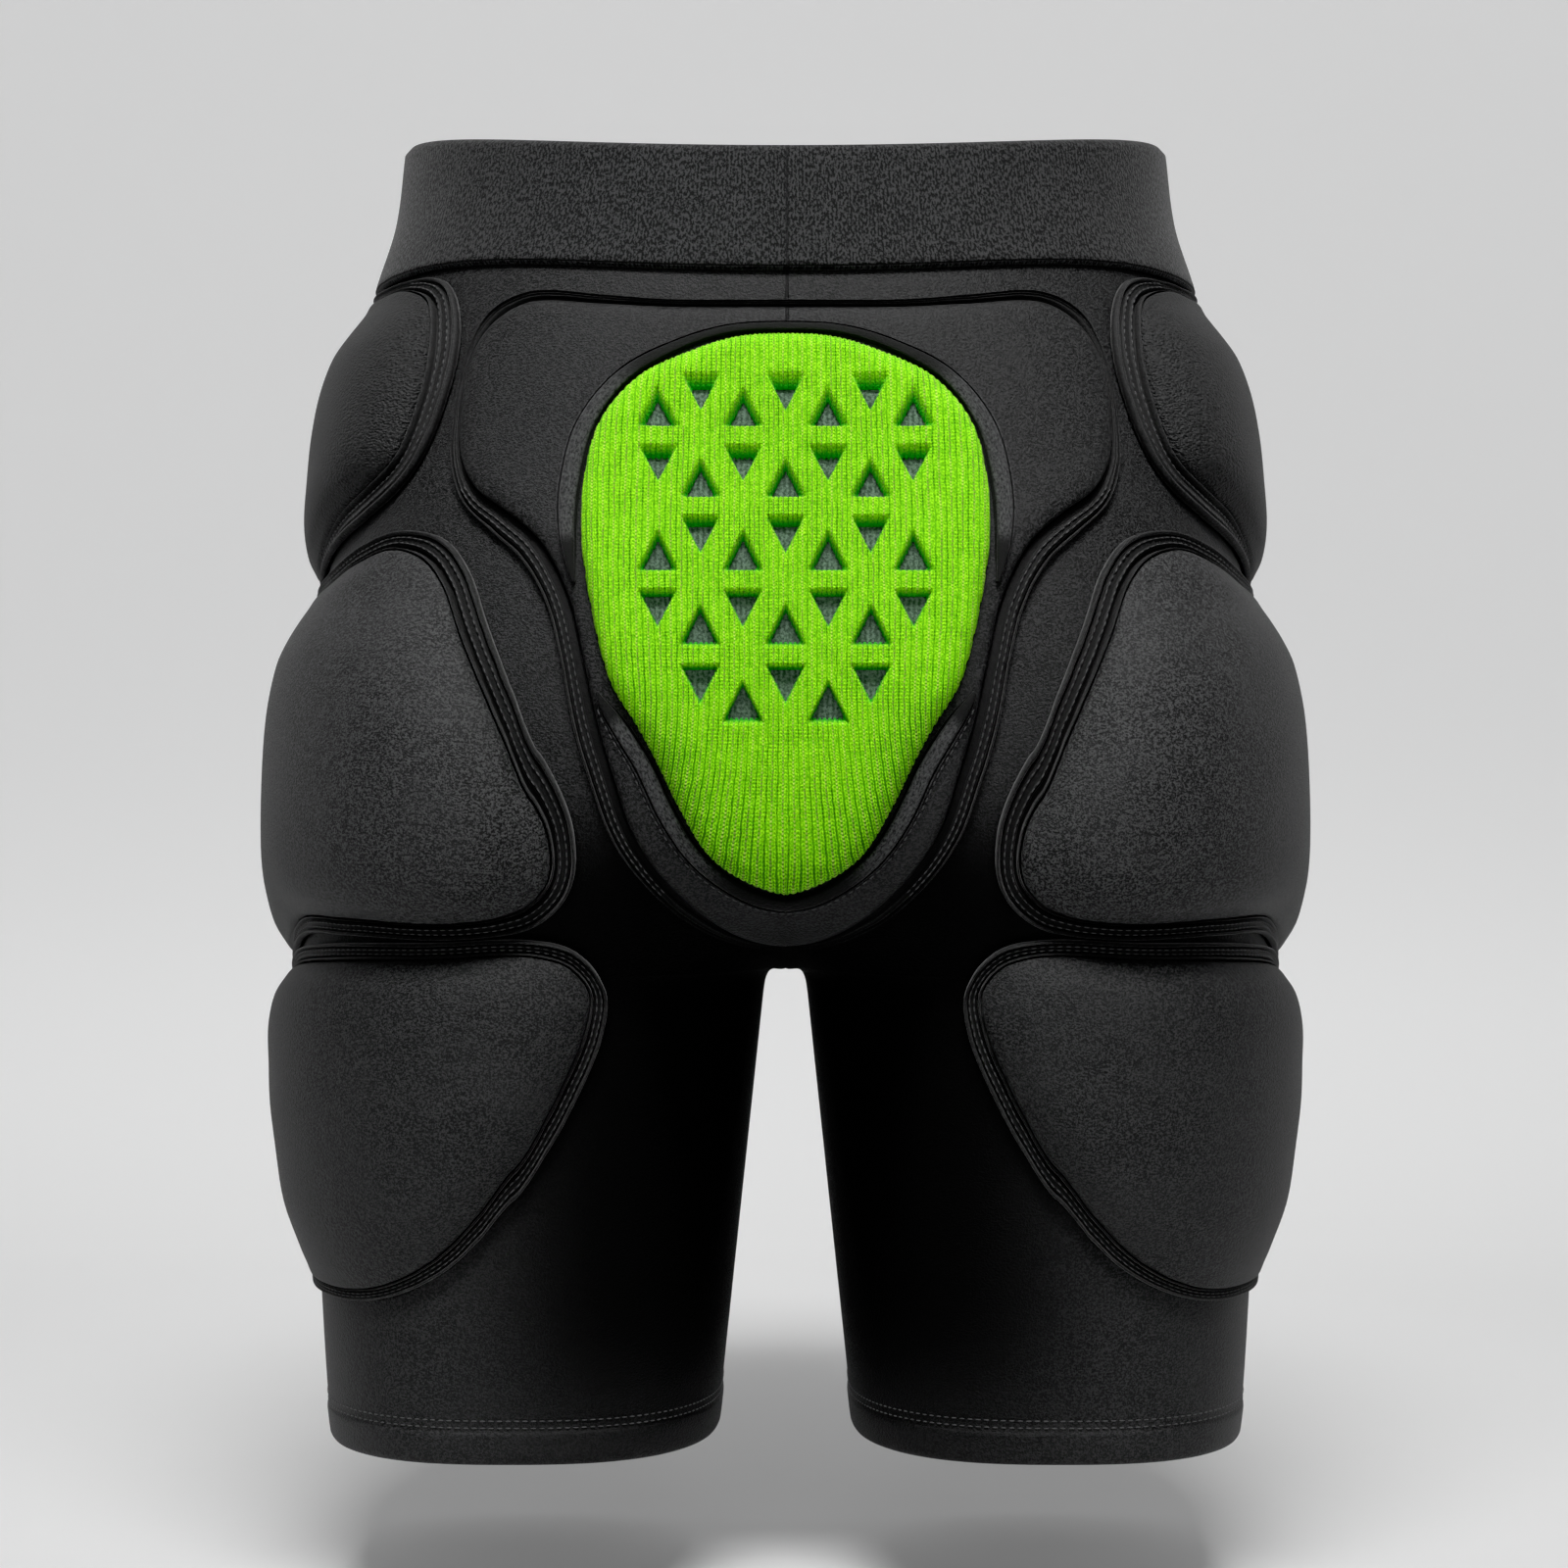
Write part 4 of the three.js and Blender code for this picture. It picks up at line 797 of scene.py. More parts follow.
print("finishes made")

pieces = []  # (object, CAD nodes that it stands for, material slot)


# Stitches: small spindles along every row, in one tree
stitch = {"pitch": 2.8 * mm, "length": 1.8 * mm, "thickness": 0.45 * mm, "narrow": 0.42}


def stitchTree(material):
    tree = bpy.data.node_groups.new("stitches", "GeometryNodeTree")
    tree.interface.new_socket("rows", in_out="INPUT", socket_type="NodeSocketGeometry")
    for name in ("pitch", "length", "thickness"):
        tree.interface.new_socket(name, in_out="INPUT", socket_type="NodeSocketFloat")
    tree.interface.new_socket("stitches", in_out="OUTPUT", socket_type="NodeSocketGeometry")
    add = tree.nodes.new
    start, end = add("NodeGroupInput"), add("NodeGroupOutput")
    curve = add("GeometryNodeMeshToCurve")
    points = add("GeometryNodeCurveToPoints")
    points.mode = "LENGTH"
    turn = add("FunctionNodeAlignRotationToVector")
    turn.axis = "Z"
    ball = add("GeometryNodeMeshUVSphere")
    ball.inputs["Segments"].default_value = 6
    ball.inputs["Rings"].default_value = 4
    ball.inputs["Radius"].default_value = 0.5
    size = add("ShaderNodeCombineXYZ")
    shape = add("GeometryNodeTransform")
    place = add("GeometryNodeInstanceOnPoints")
    real = add("GeometryNodeRealizeInstances")
    dress = add("GeometryNodeSetMaterial")
    dress.inputs["Material"].default_value = material
    link = tree.links.new
    link(start.outputs["rows"], curve.inputs["Mesh"])
    link(curve.outputs["Curve"], points.inputs["Curve"])
    link(start.outputs["pitch"], points.inputs["Length"])
    link(points.outputs["Tangent"], turn.inputs["Vector"])
    link(start.outputs["thickness"], size.inputs["X"])
    link(start.outputs["thickness"], size.inputs["Y"])
    link(start.outputs["length"], size.inputs["Z"])
    link(ball.outputs["Mesh"], shape.inputs["Geometry"])
    link(size.outputs["Vector"], shape.inputs["Scale"])
    link(points.outputs["Points"], place.inputs["Points"])
    link(shape.outputs["Geometry"], place.inputs["Instance"])
    link(turn.outputs["Rotation"], place.inputs["Rotation"])
    link(place.outputs["Instances"], real.inputs["Geometry"])
    link(real.outputs["Geometry"], dress.inputs["Geometry"])
    link(dress.outputs["Geometry"], end.inputs["stitches"])
    return tree


stitchRows = []  # points in millimetres, and which of them are sewn


def sewRows(name, material):
    verts, edges = [], []
    for points, sewn in stitchRows:
        base, n = len(verts), len(points)
        verts += [tuple(p) for p in points * mm]
        edges += [(base + i, base + (i + 1) % n) for i in range(n) if sewn[i] and sewn[(i + 1) % n]]
    mesh = bpy.data.meshes.new(name)
    mesh.from_pydata(verts, edges, [])
    piece = bpy.data.objects.new(name, mesh)
    bpy.context.scene.collection.objects.link(piece)
    tree = stitchTree(material)
    sew = piece.modifiers.new("sew", "NODES")
    sew.node_group = tree
    for item in tree.interface.items_tree:
        if item.in_out == "INPUT" and item.name in stitch:
            sew[item.identifier] = stitch[item.name]
    graph = bpy.context.evaluated_depsgraph_get()
    made = bpy.data.meshes.new_from_object(piece.evaluated_get(graph), depsgraph=graph)
    piece.modifiers.clear()
    piece.data = made
    made.name = name
    made.shade_smooth()
    return piece


# Side pads with their borders
hipMiddleZ = hipPad["top"] - hipPad["height"] / 2
besideHip = yoke["halfWidth"] + yoke["sideBorder"] * yoke["border"] + yoke["toHip"]
hipPad["back"] = aroundAt(besideHip, hipMiddleZ) - hipPad["backBorder"] * hipPad["border"]
cornerZ = mix(thighPad["bottom"], thighPad["top"], thighPad["corner"])
besideThigh = tail["atCorner"] * tail["halfWidth"] + yoke["lowBorder"] * yoke["border"] + yoke["toThigh"]
thighPad["back"] = aroundAt(besideThigh, cornerZ) - thighPad["backBorder"] * thighPad["border"]

# cords: centre across, half width (both shares) and height; strips: from, to and height
wideCords = [(0.055, 0.055, 2.9), (0.34, 0.055, 1.9), (0.62, 0.05, 1.8), (0.89, 0.1, 2.6)]
slimCords = [(0.08, 0.08, 2.7), (0.34, 0.06, 1.8), (0.6, 0.06, 1.8), (0.885, 0.115, 2.4)]
yokeCords = [(0.94, 0.06, 1.9), (0.68, 0.05, 1.95), (0.45, 0.045, 1.7)]
wideStrip = (0.24, 0.76, 1.2)
slimStrip = (0.24, 0.74, 1.2)
yokeStrip = (0.34, 0.82, 1.2)
sideBorder = {"uneven": 0.02, "steps": 460, "stitchIn": 0.34, "stitchOut": 0.615}
padEdge = 2.5  # height of a pad at its seam
padGrid = 64  # squares across a pad
padCloths = {"hip": hipCloth, "thigh": padCloth, "leg": legCloth}


def mirrored(points):
    return points * [-1, 1, 1]


# Where the cloth of a pad is creased: towards the back, fading out at its lower end
def markSlope(piece, pad):
    z = np.array([v.co.z for v in piece.data.vertices]) / mm
    y = np.array([v.co.y for v in piece.data.vertices]) / mm
    level = smooth(z, pad["top"] - pad["height"], pad["top"] - 0.6 * pad["height"])
    mark(piece, "slope", level * (1 - smooth(y, -75, -45)))


def padCrown(pad):
    def height(far, share, y):
        up = 1 - 2 * (pad["top"] - y) / pad["height"]
        tall = pad["rise"] * curveThrough(pad["crown"]["up"], pad["crown"]["tall"], up)
        return mix(padEdge, tall, foamRise(share))
    return height


for name, pad, rows, cords, strip in (
    ("hip", hipPad, hipOutline, wideCords, wideStrip),
    ("thigh", thighPad, thighOutline, wideCords, wideStrip),
    ("leg", legPad, legOutline, slimCords, slimStrip),
):
    middle = ((pad["back"] - pad["front"]) / 2, pad["top"] - pad["height"] / 2)
    half = ((pad["back"] + pad["front"]) / 2, pad["height"] / 2)
    across = middle[0] + rows["across"] * half[0]
    up = middle[1] + rows["up"] * half[1]
    outline = smoothLine(np.stack([across, up, rows["border"]], 1), sideBorder["steps"])
    points, faces = padShape(outline, middle, skinPoint, padCrown(pad), padGrid)
    trim, trimFaces, groove = borderShape(
        outline, skinPoint, pad["border"], borderProfile(cords, strip), sideBorder["uneven"],
    )
    for word, side in (("right", np.array), ("left", mirrored)):
        dome = makePiece(f"{name}Pad{word.title()}", side(points), faces, padCloths[name])
        if name == "hip":
            markSlope(dome, pad)
        pieces.append((dome, [f"{name}_pad_{word}"], "pad_cover"))
        edge = makePiece(f"{name}Border{word.title()}", side(trim), trimFaces, weltTape)
        mark(edge, "groove", groove)
        pieces.append((edge, [f"{name}_border_{word}"], "welt"))
        for share in (sideBorder["stitchIn"], sideBorder["stitchOut"]):
            row = rowOn(outline, skinPoint, pad["border"], share, cords[1][2])
            stitchRows.append((side(row), outline["share"] > stitch["narrow"]))
    print(name, "pads made")

# Yoke with its border
yokeGrid = {"steps": 600, "across": 96, "gather": 1.2, "centre": 0.49}
yokeHalf = wholeOutline(
    yokeOutline["wide"] * yoke["halfWidth"] + yokeOutline["tail"] * tail["halfWidth"],
    yokeTop - yokeOutline["down"] * yoke["height"], yokeOutline["border"],
)
yokeLine = smoothLine(yokeHalf, yokeGrid["steps"])
yokeMiddle = (0, yokeTop - yokeGrid["centre"] * yoke["height"])


def yokeHeight(far, share, y):
    return mix(yoke["edge"], yoke["rise"], crown(far, yoke["slope"]))


points, faces = padShape(
    yokeLine, yokeMiddle, backPoint, yokeHeight, yokeGrid["across"], yokeGrid["gather"],
)
panel = makePiece("yokePanel", points, faces, yokeCloth)
pieces.append((panel, ["yoke_panel"], "yoke"))
profile = borderProfile(yokeCords, yokeStrip)
trim, trimFaces, groove = borderShape(yokeLine, backPoint, yoke["border"], profile, sideBorder["uneven"])
edge = makePiece("yokeBorder", trim, trimFaces, weltTape)
mark(edge, "groove", groove)
pieces.append((edge, ["yoke_border"], "welt"))
for share, _, _ in yokeCords[:0:-1]:
    row = rowOn(yokeLine, backPoint, yoke["border"], share, yokeCords[2][2] + 0.1)
    stitchRows.append((row, yokeLine["share"] > yoke["stitchedFrom"]))
print("yoke made")

# Rim bands round the tail pad
yokeFace = fit["seat"] + yoke["rise"] + fit["clear"]


def weaveMap(piece, u, v):
    layer = piece.data.uv_layers.new(name="weave")
    corners = np.array([loop.vertex_index for loop in piece.data.loops])
    layer.data.foreach_set("uv", np.stack([u[corners], v[corners]], 1).ravel().astype(np.float32))


# groove: painted shade across the tape, in its low grooves
rimProfile = columns("across out groove", [
    (-1.0, 0.0, 0.2), (-0.98, 0.45, 0.2), (-0.93, 0.6, 0.0), (-0.88, 0.4, 0.4), (-0.84, 0.12, 1.0),
    (-0.74, 0.1, 1.0), (-0.7, 0.8, 0.6), (-0.64, 1.3, 0.1), (-0.5, 1.52, 0.0), (-0.25, 1.6, 0.0),
    (0.0, 1.62, 0.0), (0.25, 1.6, 0.0), (0.5, 1.52, 0.0), (0.64, 1.3, 0.1), (0.72, 0.8, 0.6),
    (0.78, 0.12, 1.0), (0.98, 0.1, 1.0), (1.0, 0.0, 1.0),
])
for name, rows, node, outward in (
    ("rimUpper", upperRim, "tail_rim_upper", 1), ("rimLower", lowerRim, "tail_rim_lower", -1),
):
    level = tailTop - rows["down"] * tail["height"]
    half = np.stack([rows["across"] * tail["halfWidth"], level, rows["width"]], 1)
    line = smoothLine(np.vstack([(half * [-1, 1, 1])[:0:-1], half]), rim["steps"], closed=False)
    a = -outward * rimProfile["across"]
    margin = rim["margin"] * np.minimum(1, 2 * line["share"])
    reach = (line["share"] * rim["width"] / 2 + margin)[:, None] * a[None]
    x = line["x"][:, None] + line["nx"][:, None] * reach
    y = line["y"][:, None] + line["ny"][:, None] * reach
    low = np.minimum(1, 0.35 + line["share"])[:, None]
    points = backPoint(x.ravel(), y.ravel(), (yokeFace + low * rimProfile["out"][None]).ravel())
    ends = [list(range(len(a))), list(range(len(points) - len(a), len(points)))]
    tape = makePiece(name, points, list(gridFaces(len(x), len(a), closeCols=True)) + ends, rimTape)
    walked = np.append(0, np.cumsum(np.hypot(np.diff(line["x"]), np.diff(line["y"]))))
    weaveMap(tape, np.repeat(walked, len(a)), reach.ravel())
    # The tape is darker where it is narrow, towards its ends
    slim = 0.72 * (1 - smooth(line["share"], 0.5, 0.72))[:, None]
    mark(tape, "groove", np.maximum(rimProfile["groove"][None], slim).ravel())
    pieces.append((tape, [node], "rim_tape"))
    if name == "rimLower":
        across = outward * rim["stitchAt"] * (line["share"] * rim["width"] / 2 + margin)
        places = line["x"] + line["nx"] * across, line["y"] + line["ny"] * across
        row = backPoint(*places, np.full(len(across), yokeFace + 0.1))
        stitchRows.append((row, line["share"] > rim["stitchedFrom"]))
print("rims made")

# Tail pad: foam core and knitted cover with vents
vents = {
    "width": 10.9, "height": 10.3, "column": 13.4, "rowPitch": 22.8, "pairStep": 4.9, "rows": 10,
    "first": 20.1, "depth": 3.4, "corner": 0.24,
}
# slopes of the cover into the vents: outside and inside the outline, in the top row and the last
ventSlopes = {
    "top": ((1.4, 3.4), (0.7, 0.1)), "sides": ((1.3, 1.1), (0.7, 0.1)),
    "below": ((0.25, 0.1), (1.5, 0.1)), "tips": ((0.3, 0.15), (0.6, 0.1)),
}
knit = {
    "wale": 1.5, "course": 1.04, "fan": 0.62, "fanFrom": 0.62, "bulge": 0.11, "bulgeAt": 0.4,
    "perWale": 4, "row": 0.52, "ridge": 0.19,
}
coverTop = yokeFace + tail["core"] + fit["clear"] + tail["cover"]
coreTop = yokeFace + tail["core"]
tailHalf = wholeOutline(
    tailOutline["across"] * tail["halfWidth"], tailTop - tailOutline["down"] * tail["height"],
    np.ones(len(tailOutline["down"])),
)
tailLine = smoothLine(tailHalf, 400)
tailMiddle = (0, tailTop - 0.45 * tail["height"])

turn, radius, faces, edge = discGrid(72)
places = np.arange(401) / 400
shareIn = mix(0.1, 1.0, 1 - radius)
x = mix(np.interp(turn, places, np.append(tailLine["x"], tailLine["x"][0])), tailMiddle[0], shareIn)
z = mix(np.interp(turn, places, np.append(tailLine["y"], tailLine["y"][0])), tailMiddle[1], shareIn)
top = backPoint(x, z, np.full(len(x), coreTop))
bed = backPoint(x, z, np.full(len(x), yokeFace + 0.4))
around = np.roll(edge, -1)
side = np.stack([edge, around, around + len(x), edge + len(x)], 1)
faces = np.vstack([faces, faces[:, ::-1] + len(x), side])
core = makePiece("tailCore", np.vstack([top, bed]), faces, coreFoam)
pieces.append((core, ["tail_core"], "core_foam"))


def allVents():
    for row in range(vents["rows"]):
        spread = 1 if row == vents["rows"] - 1 else 2 if row % 4 in (0, 3) else 3
        z = tailTop - vents["first"] - (row // 2) * vents["rowPitch"] - (row % 2) * vents["pairStep"]
        for column in range(-spread, spread + 1, 2):
            yield column * vents["column"], z, row


def softLeast(a, b, blend):
    least = np.minimum(a, b)
    return least - blend * np.log1p(np.exp(-np.abs(a - b) / blend))


# How deep the cover lies round a vent: 0 on its face, 1 where the opening begins, more inside it
def ventDepth(x, z, row):
    pointUp = row % 2 == 1
    up = -z if pointUp else z  # towards the straight side
    half, tall = vents["width"] / 2, vents["height"]
    slant = math.hypot(half, tall)
    straight = tall / 2 - up
    sides = ((up + tall / 2) * half - np.abs(x) * tall) / slant
    t = row / (vents["rows"] - 1)
    flat, slanted = ("below", "sides") if pointUp else ("top", "tips")
    outside, inside = mix(np.array(ventSlopes[flat][0]), np.array(ventSlopes[flat][1]), t)
    sideOut, sideIn = mix(np.array(ventSlopes[slanted][0]), np.array(ventSlopes[slanted][1]), t)
    a = (straight + outside) / (outside + inside)
    b = (sides + sideOut) / (sideOut + sideIn)
    return softLeast(a, b, vents["corner"])


def rimOf(count):
    fine = smoothLine(tailHalf, count)
    return np.stack([fine["x"], fine["y"]], 1), np.stack([fine["nx"], fine["ny"]], 1)


# Cover: columns of points follow the wales, so the fan at the bottom is in the mesh too
def coverPiece():
    wide = int(tail["halfWidth"] / knit["wale"] * knit["perWale"]) + 3
    tall = int(tail["height"] / knit["row"]) + 6
    u = np.arange(-wide, wide + 1) / knit["perWale"]
    z = tailTop + 2 * knit["row"] - np.arange(tall + 1) * knit["row"]
    v, u = (grid.ravel() for grid in np.meshgrid(z, u, indexing="ij"))
    down = np.clip((tailTop - v) / tail["height"], 0, 1.02)
    fan = 1 + knit["fan"] * (np.maximum(0, down - knit["fanFrom"]) / (1 - knit["fanFrom"])) ** 2
    bulge = np.clip(1 - ((down - knit["bulgeAt"]) / knit["bulgeAt"]) ** 2, 0, 1)
    fan = fan + knit["bulge"] * bulge * np.clip(np.abs(u * knit["wale"]) / 45, 0, 1) ** 1.5
    x, z = u * knit["wale"] * fan, v.copy()
    rimAt, rimOut = rimOf(3000)
    nearest = np.empty(len(x), int)
    for part in np.array_split(np.arange(len(x)), 60):
        gap = (x[part, None] - rimAt[None, :, 0]) ** 2 + (z[part, None] - rimAt[None, :, 1]) ** 2
        nearest[part] = gap.argmin(1)
    out = ((np.stack([x, z], 1) - rimAt[nearest]) * rimOut[nearest]).sum(1)
    far = np.hypot(*(np.stack([x, z], 1) - rimAt[nearest]).T)
    inside = out < 0
    scallop = 0.35 * np.abs(np.sin(math.pi * u))
    edge = np.where(inside, far, -far) + scallop
    depth = np.full(len(x), -1.0)
    for ventX, ventZ, row in allVents():
        near = (np.abs(x - ventX) < 7) & (np.abs(z - ventZ) < 7)
        ripple = 0.22 * np.abs(np.sin(math.pi * u[near]))
        here = ventDepth(x[near] - ventX, z[near] - ventZ + ripple * (1 if row % 2 else -1), row)
        depth[near] = np.maximum(depth[near], here)
    faces = gridFaces(tall + 1, 2 * wide + 1)
    faces = faces[(edge[faces].mean(1) > 0) & (depth[faces].mean(1) < 1)]
    sides = np.vstack([faces[:, [i, (i + 1) % 4]] for i in range(4)])
    _, index, counts = np.unique(np.sort(sides, 1), axis=0, return_index=True, return_counts=True)
    rimSides = sides[index[counts == 1]]
    outer = np.unique(rimSides[edge[rimSides].mean(1) < 2])
    outer = outer[depth[outer] < 0.2]
    pull = np.clip(edge[outer], -0.6, 0.6)[:, None]
    moved = np.stack([x[outer], z[outer]], 1) + rimOut[nearest[outer]] * pull
    x[outer], z[outer] = moved[:, 0], moved[:, 1]
    edge[outer] = 0
    used, faces = np.unique(faces, return_inverse=True)
    faces = faces.reshape(-1, 4)
    renumber = np.full(len(x), -1)
    renumber[used] = np.arange(len(used))
    rimSides = renumber[rimSides]
    x, z, u, v, edge, depth, down = (a[used] for a in (x, z, u, v, edge, depth, down))
    dip = np.clip(depth, 0, 1)
    wales = 0.5 - 0.5 * np.cos(2 * math.pi * u)
    high = mix(yokeFace + 0.5, coverTop - knit["ridge"], crown(np.maximum(edge, 0), 6.5, 2.2))
    high = high + knit["ridge"] * wales * (1 - dip) - vents["depth"] * dip
    low = np.unique(rimSides)
    base = np.full(len(x), -1)
    base[low] = np.arange(len(low)) + len(x)
    floor = np.where(dip[low] > 0.2, coreTop + 0.1, yokeFace + 0.1)
    points = np.vstack([backPoint(x, z, high), backPoint(x[low], z[low], floor)])
    walls = np.stack([rimSides[:, 1], rimSides[:, 0], base[rimSides[:, 0]], base[rimSides[:, 1]]], 1)
    piece = makePiece("tailCover", points, np.vstack([faces, walls]), coverKnit, weld=False)
    order = np.append(np.arange(len(x)), low)
    weaveMap(piece, u[order] + 0.5, v[order] / knit["course"])
    mark(piece, "dip", np.append(dip, np.where(dip[low] > 0.2, 1.0, 0.0)))
    spread = smooth(down, 0.7, 1.0) * (0.25 + 0.75 * smooth(np.abs(x), 4, 20))
    outerMesh = smooth(down, 0.52, 0.75) * (1 - smooth(edge, 3, 22)) * 0.7
    mark(piece, "open", np.maximum(spread, outerMesh)[order])
    return piece


cover = coverPiece()
pieces.append((cover, ["tail_cover"], "cover_knit"))
print("tail pad made")

# The cloth: outer skin, inner skin, waist edge and rolled hems
cloth = {
    "wall": 2, "steps": 150, "torsoRows": 110, "legRows": 84, "foldHeight": 11, "tip": 2.2,
    "stitchRows": (12.4, 14.8),
}
# Rolled hem: below its top, and outside the cloth
hemFold = columns("down out", [
    (0.25, 0.35), (0.7, 0.65), (1.6, 0.8), (4, 0.8), (7, 0.8), (9.4, 0.7), (10.2, 0.45), (10.75, 0.1),
    (11, -0.5),
])


def clothStrip(z, out, inside):
    form = section(z, cloth["wall"] if inside else 0.0)
    end = lastTurn(form, out)
    share = np.linspace(-1, 1, cloth["steps"] + 1)[None]
    column = {key: value[:, None] for key, value in form.items()}
    x, y = sectionPoint(column, end[:, None] * share, out[:, None])
    meets = end < math.pi - 1e-9
    x[meets, 0] = x[meets, -1] = 0
    y[~meets, 0] = y[~meets, -1] = 0
    height = np.broadcast_to(z[:, None], x.shape).copy()
    saddle = np.exp(-((height - crotchLevel) / 2.5) ** 2) * np.clip(1 - x / 5.5, 0, 1)
    saddle = saddle * smooth(form["back"][:, None] - np.abs(y), 8, 25)
    return np.stack([x, y, height - cloth["tip"] * saddle], 2)


top = bandBottom + band["lap"]
share = np.linspace(0, 1, cloth["torsoRows"])
down = 1 - (1 - share) ** 1.5
legShare = np.linspace(0, 1, cloth["legRows"] + 1)[1:] ** 1.7
foldTop = hemLevel + cloth["foldHeight"]
torsoZ = mix(top, crotchLevel, down)
legZ = mix(crotchLevel, foldTop, legShare)
outerZ = np.concatenate([torsoZ, legZ, foldTop - hemFold["down"]])
outer = clothStrip(outerZ, np.concatenate([torsoZ * 0, legZ * 0, hemFold["out"]]), False)
steep = math.sqrt(body["cleftSlope"] ** 2 + 4 * cleftCurve * cloth["wall"])
meet = (steep - body["cleftSlope"]) / (2 * cleftCurve)  # the inner walls meet this far up
innerCrotch = crotchLevel + body["crotchSeam"] + meet
innerZ = np.concatenate([mix(top, innerCrotch, down), mix(innerCrotch, hemLevel + 0.4, legShare)])
inner = clothStrip(innerZ, innerZ * 0, True)


def clothPoints():
    points, faces = [], []
    cols = outer.shape[1]
    c = np.arange(cols - 1)
    for k, side in enumerate((1, -1)):
        o = k * (len(outer) + len(inner)) * cols
        i = o + len(outer) * cols
        points += [(grid * [side, 1, 1]).reshape(-1, 3) for grid in (outer, inner)]
        faces += [gridFaces(len(outer), cols, start=o), gridFaces(len(inner), cols, start=i)]
        lastO, lastI = o + (len(outer) - 1) * cols, i + (len(inner) - 1) * cols
        faces.append(np.stack([o + c, o + c + 1, i + c + 1, i + c], 1))
        faces.append(np.stack([lastO + c, lastO + c + 1, lastI + c + 1, lastI + c], 1))
    return np.vstack(points), np.vstack(faces)


points, faces = clothPoints()
shell = makePiece("shortsCloth", points, faces, shellCloth)
pieces.append((shell, ["shorts_shell"], "cloth"))
for side in (1, -1):
    for up in cloth["stitchRows"]:
        z = np.array([hemLevel + up])
        row = clothStrip(z, np.array([0.15]), False)[0] * [side, 1, 1]
        stitchRows.append((row[:-1], np.ones(len(row) - 1, bool)))
print("cloth made")


# Waistband
bandGrid = {"steps": 300, "rows": 26, "around": 118, "up": 55}


def bandPoints():
    steps = bandGrid["steps"]
    share = np.arange(2 * steps)
    side = np.where(share < steps, 1.0, -1.0)
    s = np.where(share < steps, share, 2 * steps - share) / steps
    bearing = math.pi * s
    behind = np.maximum(0, np.cos(bearing)) ** 2
    corner = np.where(np.cos(bearing) > 0, np.sin(2 * bearing) ** 2, 0)
    low = bandBottom - band["bottomDip"] * behind + band["bottomLift"] * corner
    high = bandTop - band["topDip"] * behind
    t = np.linspace(0, 1, bandGrid["rows"])
    lowLip = np.sqrt(np.clip(1 - np.clip(1 - t * 20, 0, 1) ** 2, 0, 1))
    topLip = np.sqrt(np.clip(1 - np.clip(t * 20 - 19, 0, 1) ** 2, 0, 1))
    lip = lowLip * topLip
    profile = [(row, fit["clear"]) for row in t] + [
        (row, fit["clear"] + band["wall"] * (0.35 + 0.65 * l)) for row, l in zip(t[::-1], lip[::-1])
    ]
    grid = []
    for row, out in profile:  # share of the height, and distance from the skin
        z = low + (high - low) * row
        form = section(z)
        end = lastTurn(form, out)
        x, y = sectionPoint(form, end * (2 * s - 1), out)
        grid.append(np.stack([np.where(s % 1 == 0, 0, side * x), y, z], 1))
    return np.array(grid), np.array([row for row, _ in profile])


grid, levels = bandPoints()
faces = gridFaces(*grid.shape[:2], closeRows=True, closeCols=True)
waist = makePiece("waistBand", grid.reshape(-1, 3), faces, bandCloth)
place = np.array([v.co for v in waist.data.vertices]) / mm
weaveMap(waist, np.arctan2(place[:, 0], -place[:, 1]) * bandGrid["around"], place[:, 2])
mark(waist, "hem", np.broadcast_to(levels[:, None], grid.shape[:2]).ravel() * bandGrid["up"])
pieces.append((waist, ["waistband"], "band"))
print("waistband made")

sewn = sewRows("stitching", blackThread)
pieces.append((sewn, [], "welt"))
print("stitches:", len(sewn.data.polygons), "faces")

# Handing the pieces to the frame
for piece, nodes, slot in pieces:
    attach(piece, "root")
    if nodes:
        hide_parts(*nodes)

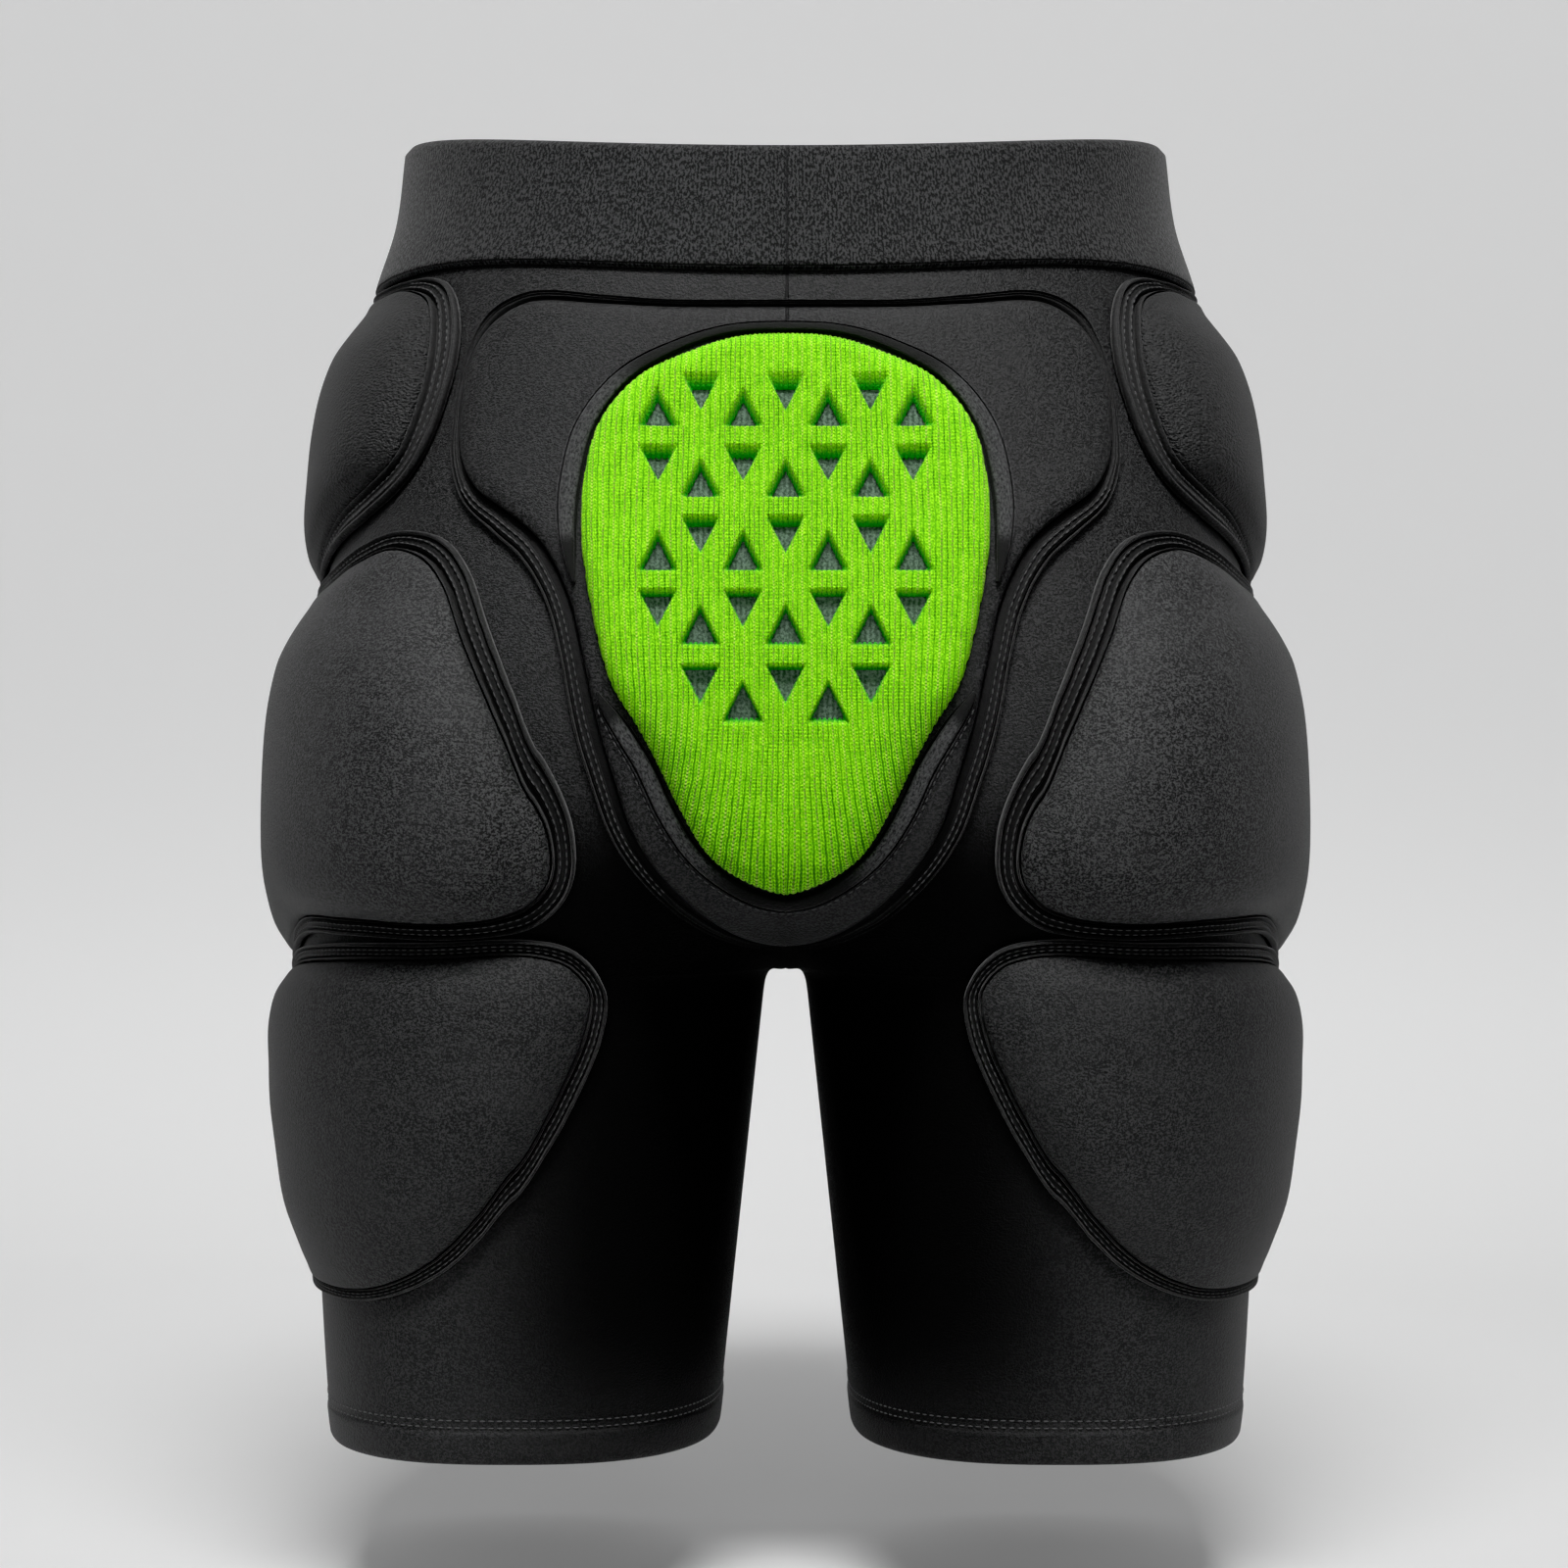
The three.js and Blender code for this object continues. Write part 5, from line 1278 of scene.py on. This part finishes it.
# Floor and backdrop in one sweep of paper
studio = {
    "half": 5.0, "floor": -0.47, "bendFrom": 0.7, "bend": 1.6, "top": 5.0, "near": -4.0,
    "tone": 0.7, "glow": 0.53,
}
turns = np.linspace(0, math.pi / 2, 24)
bendY = studio["bendFrom"] + studio["bend"] * np.sin(turns)
bendZ = studio["floor"] + studio["bend"] * (1 - np.cos(turns))
sweepY = [studio["near"], *bendY, studio["bendFrom"] + studio["bend"]]
sweepZ = [studio["floor"], *bendZ, studio["top"]]
sweep = [(x, y, z) for y, z in zip(sweepY, sweepZ) for x in (-studio["half"], studio["half"])]
pale = paper("paper", studio["tone"], studio["glow"])
paperRoll = makePiece("paperRoll", np.array(sweep) / mm, gridFaces(len(sweepY), 2), pale)
paperRoll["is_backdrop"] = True

# Light: soft boxes above, at both sides, behind the camera and over the paper, and a faint room
room = bpy.data.worlds.new("room")
room.use_nodes = True
room.node_tree.nodes["Background"].inputs["Color"].default_value = (0.95, 0.97, 1.0, 1)
room.node_tree.nodes["Background"].inputs["Strength"].default_value = 0.06
bpy.context.scene.world = room


def softBox(name, place, aim, size, power, spread=180):
    light = bpy.data.lights.new(name, "AREA")
    light.shape = "RECTANGLE"
    light.size, light.size_y = size
    light.energy = power
    light.spread = math.radians(spread)
    lamp = bpy.data.objects.new(name, light)
    bpy.context.scene.collection.objects.link(lamp)
    lamp.location = place
    lamp.rotation_euler = (Vector(aim) - Vector(place)).to_track_quat("-Z", "Y").to_euler()


softBox("topBox", (0, -0.95, 1.25), (0, -0.05, -0.06), (0.9, 0.4), 4.2, 60)
softBox("leftBox", (-1.5, -0.75, 0.15), (0, 0, -0.2), (0.5, 1.2), 0.9)
softBox("rightBox", (1.5, -0.75, 0.15), (0, 0, -0.2), (0.5, 1.2), 0.8)
softBox("eyeBox", (0, -2.4, 0.45), (0, 0, -0.2), (1.4, 0.9), 10)
softBox("paperBox", (0, 0.9, 2.4), (0, 2.0, -0.2), (3.0, 0.8), 5.5)

# Camera: level, from behind, at the height of the seat
view = {"lens": 77.8, "away": 1200, "height": -196, "sideways": -0.5}
eye = bpy.data.cameras.new("eye")
eye.lens = view["lens"]
eye.sensor_width = 36
camera = bpy.data.objects.new("camera", eye)
camera.location = (view["sideways"] * mm, -view["away"] * mm, view["height"] * mm)
camera.rotation_euler = (math.pi / 2, 0, 0)
bpy.context.scene.collection.objects.link(camera)
bpy.context.scene.camera = camera

# Deep blacks, as in a studio print
printed = bpy.context.scene.view_settings
printed.view_transform = "Standard"
printed.use_curve_mapping = True
toe = printed.curve_mapping.curves[3].points
for shade, shown in ((0.009, 0.002), (0.02, 0.014), (0.042, 0.042)):
    toe.new(shade, shown)
printed.curve_mapping.update()

low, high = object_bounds()
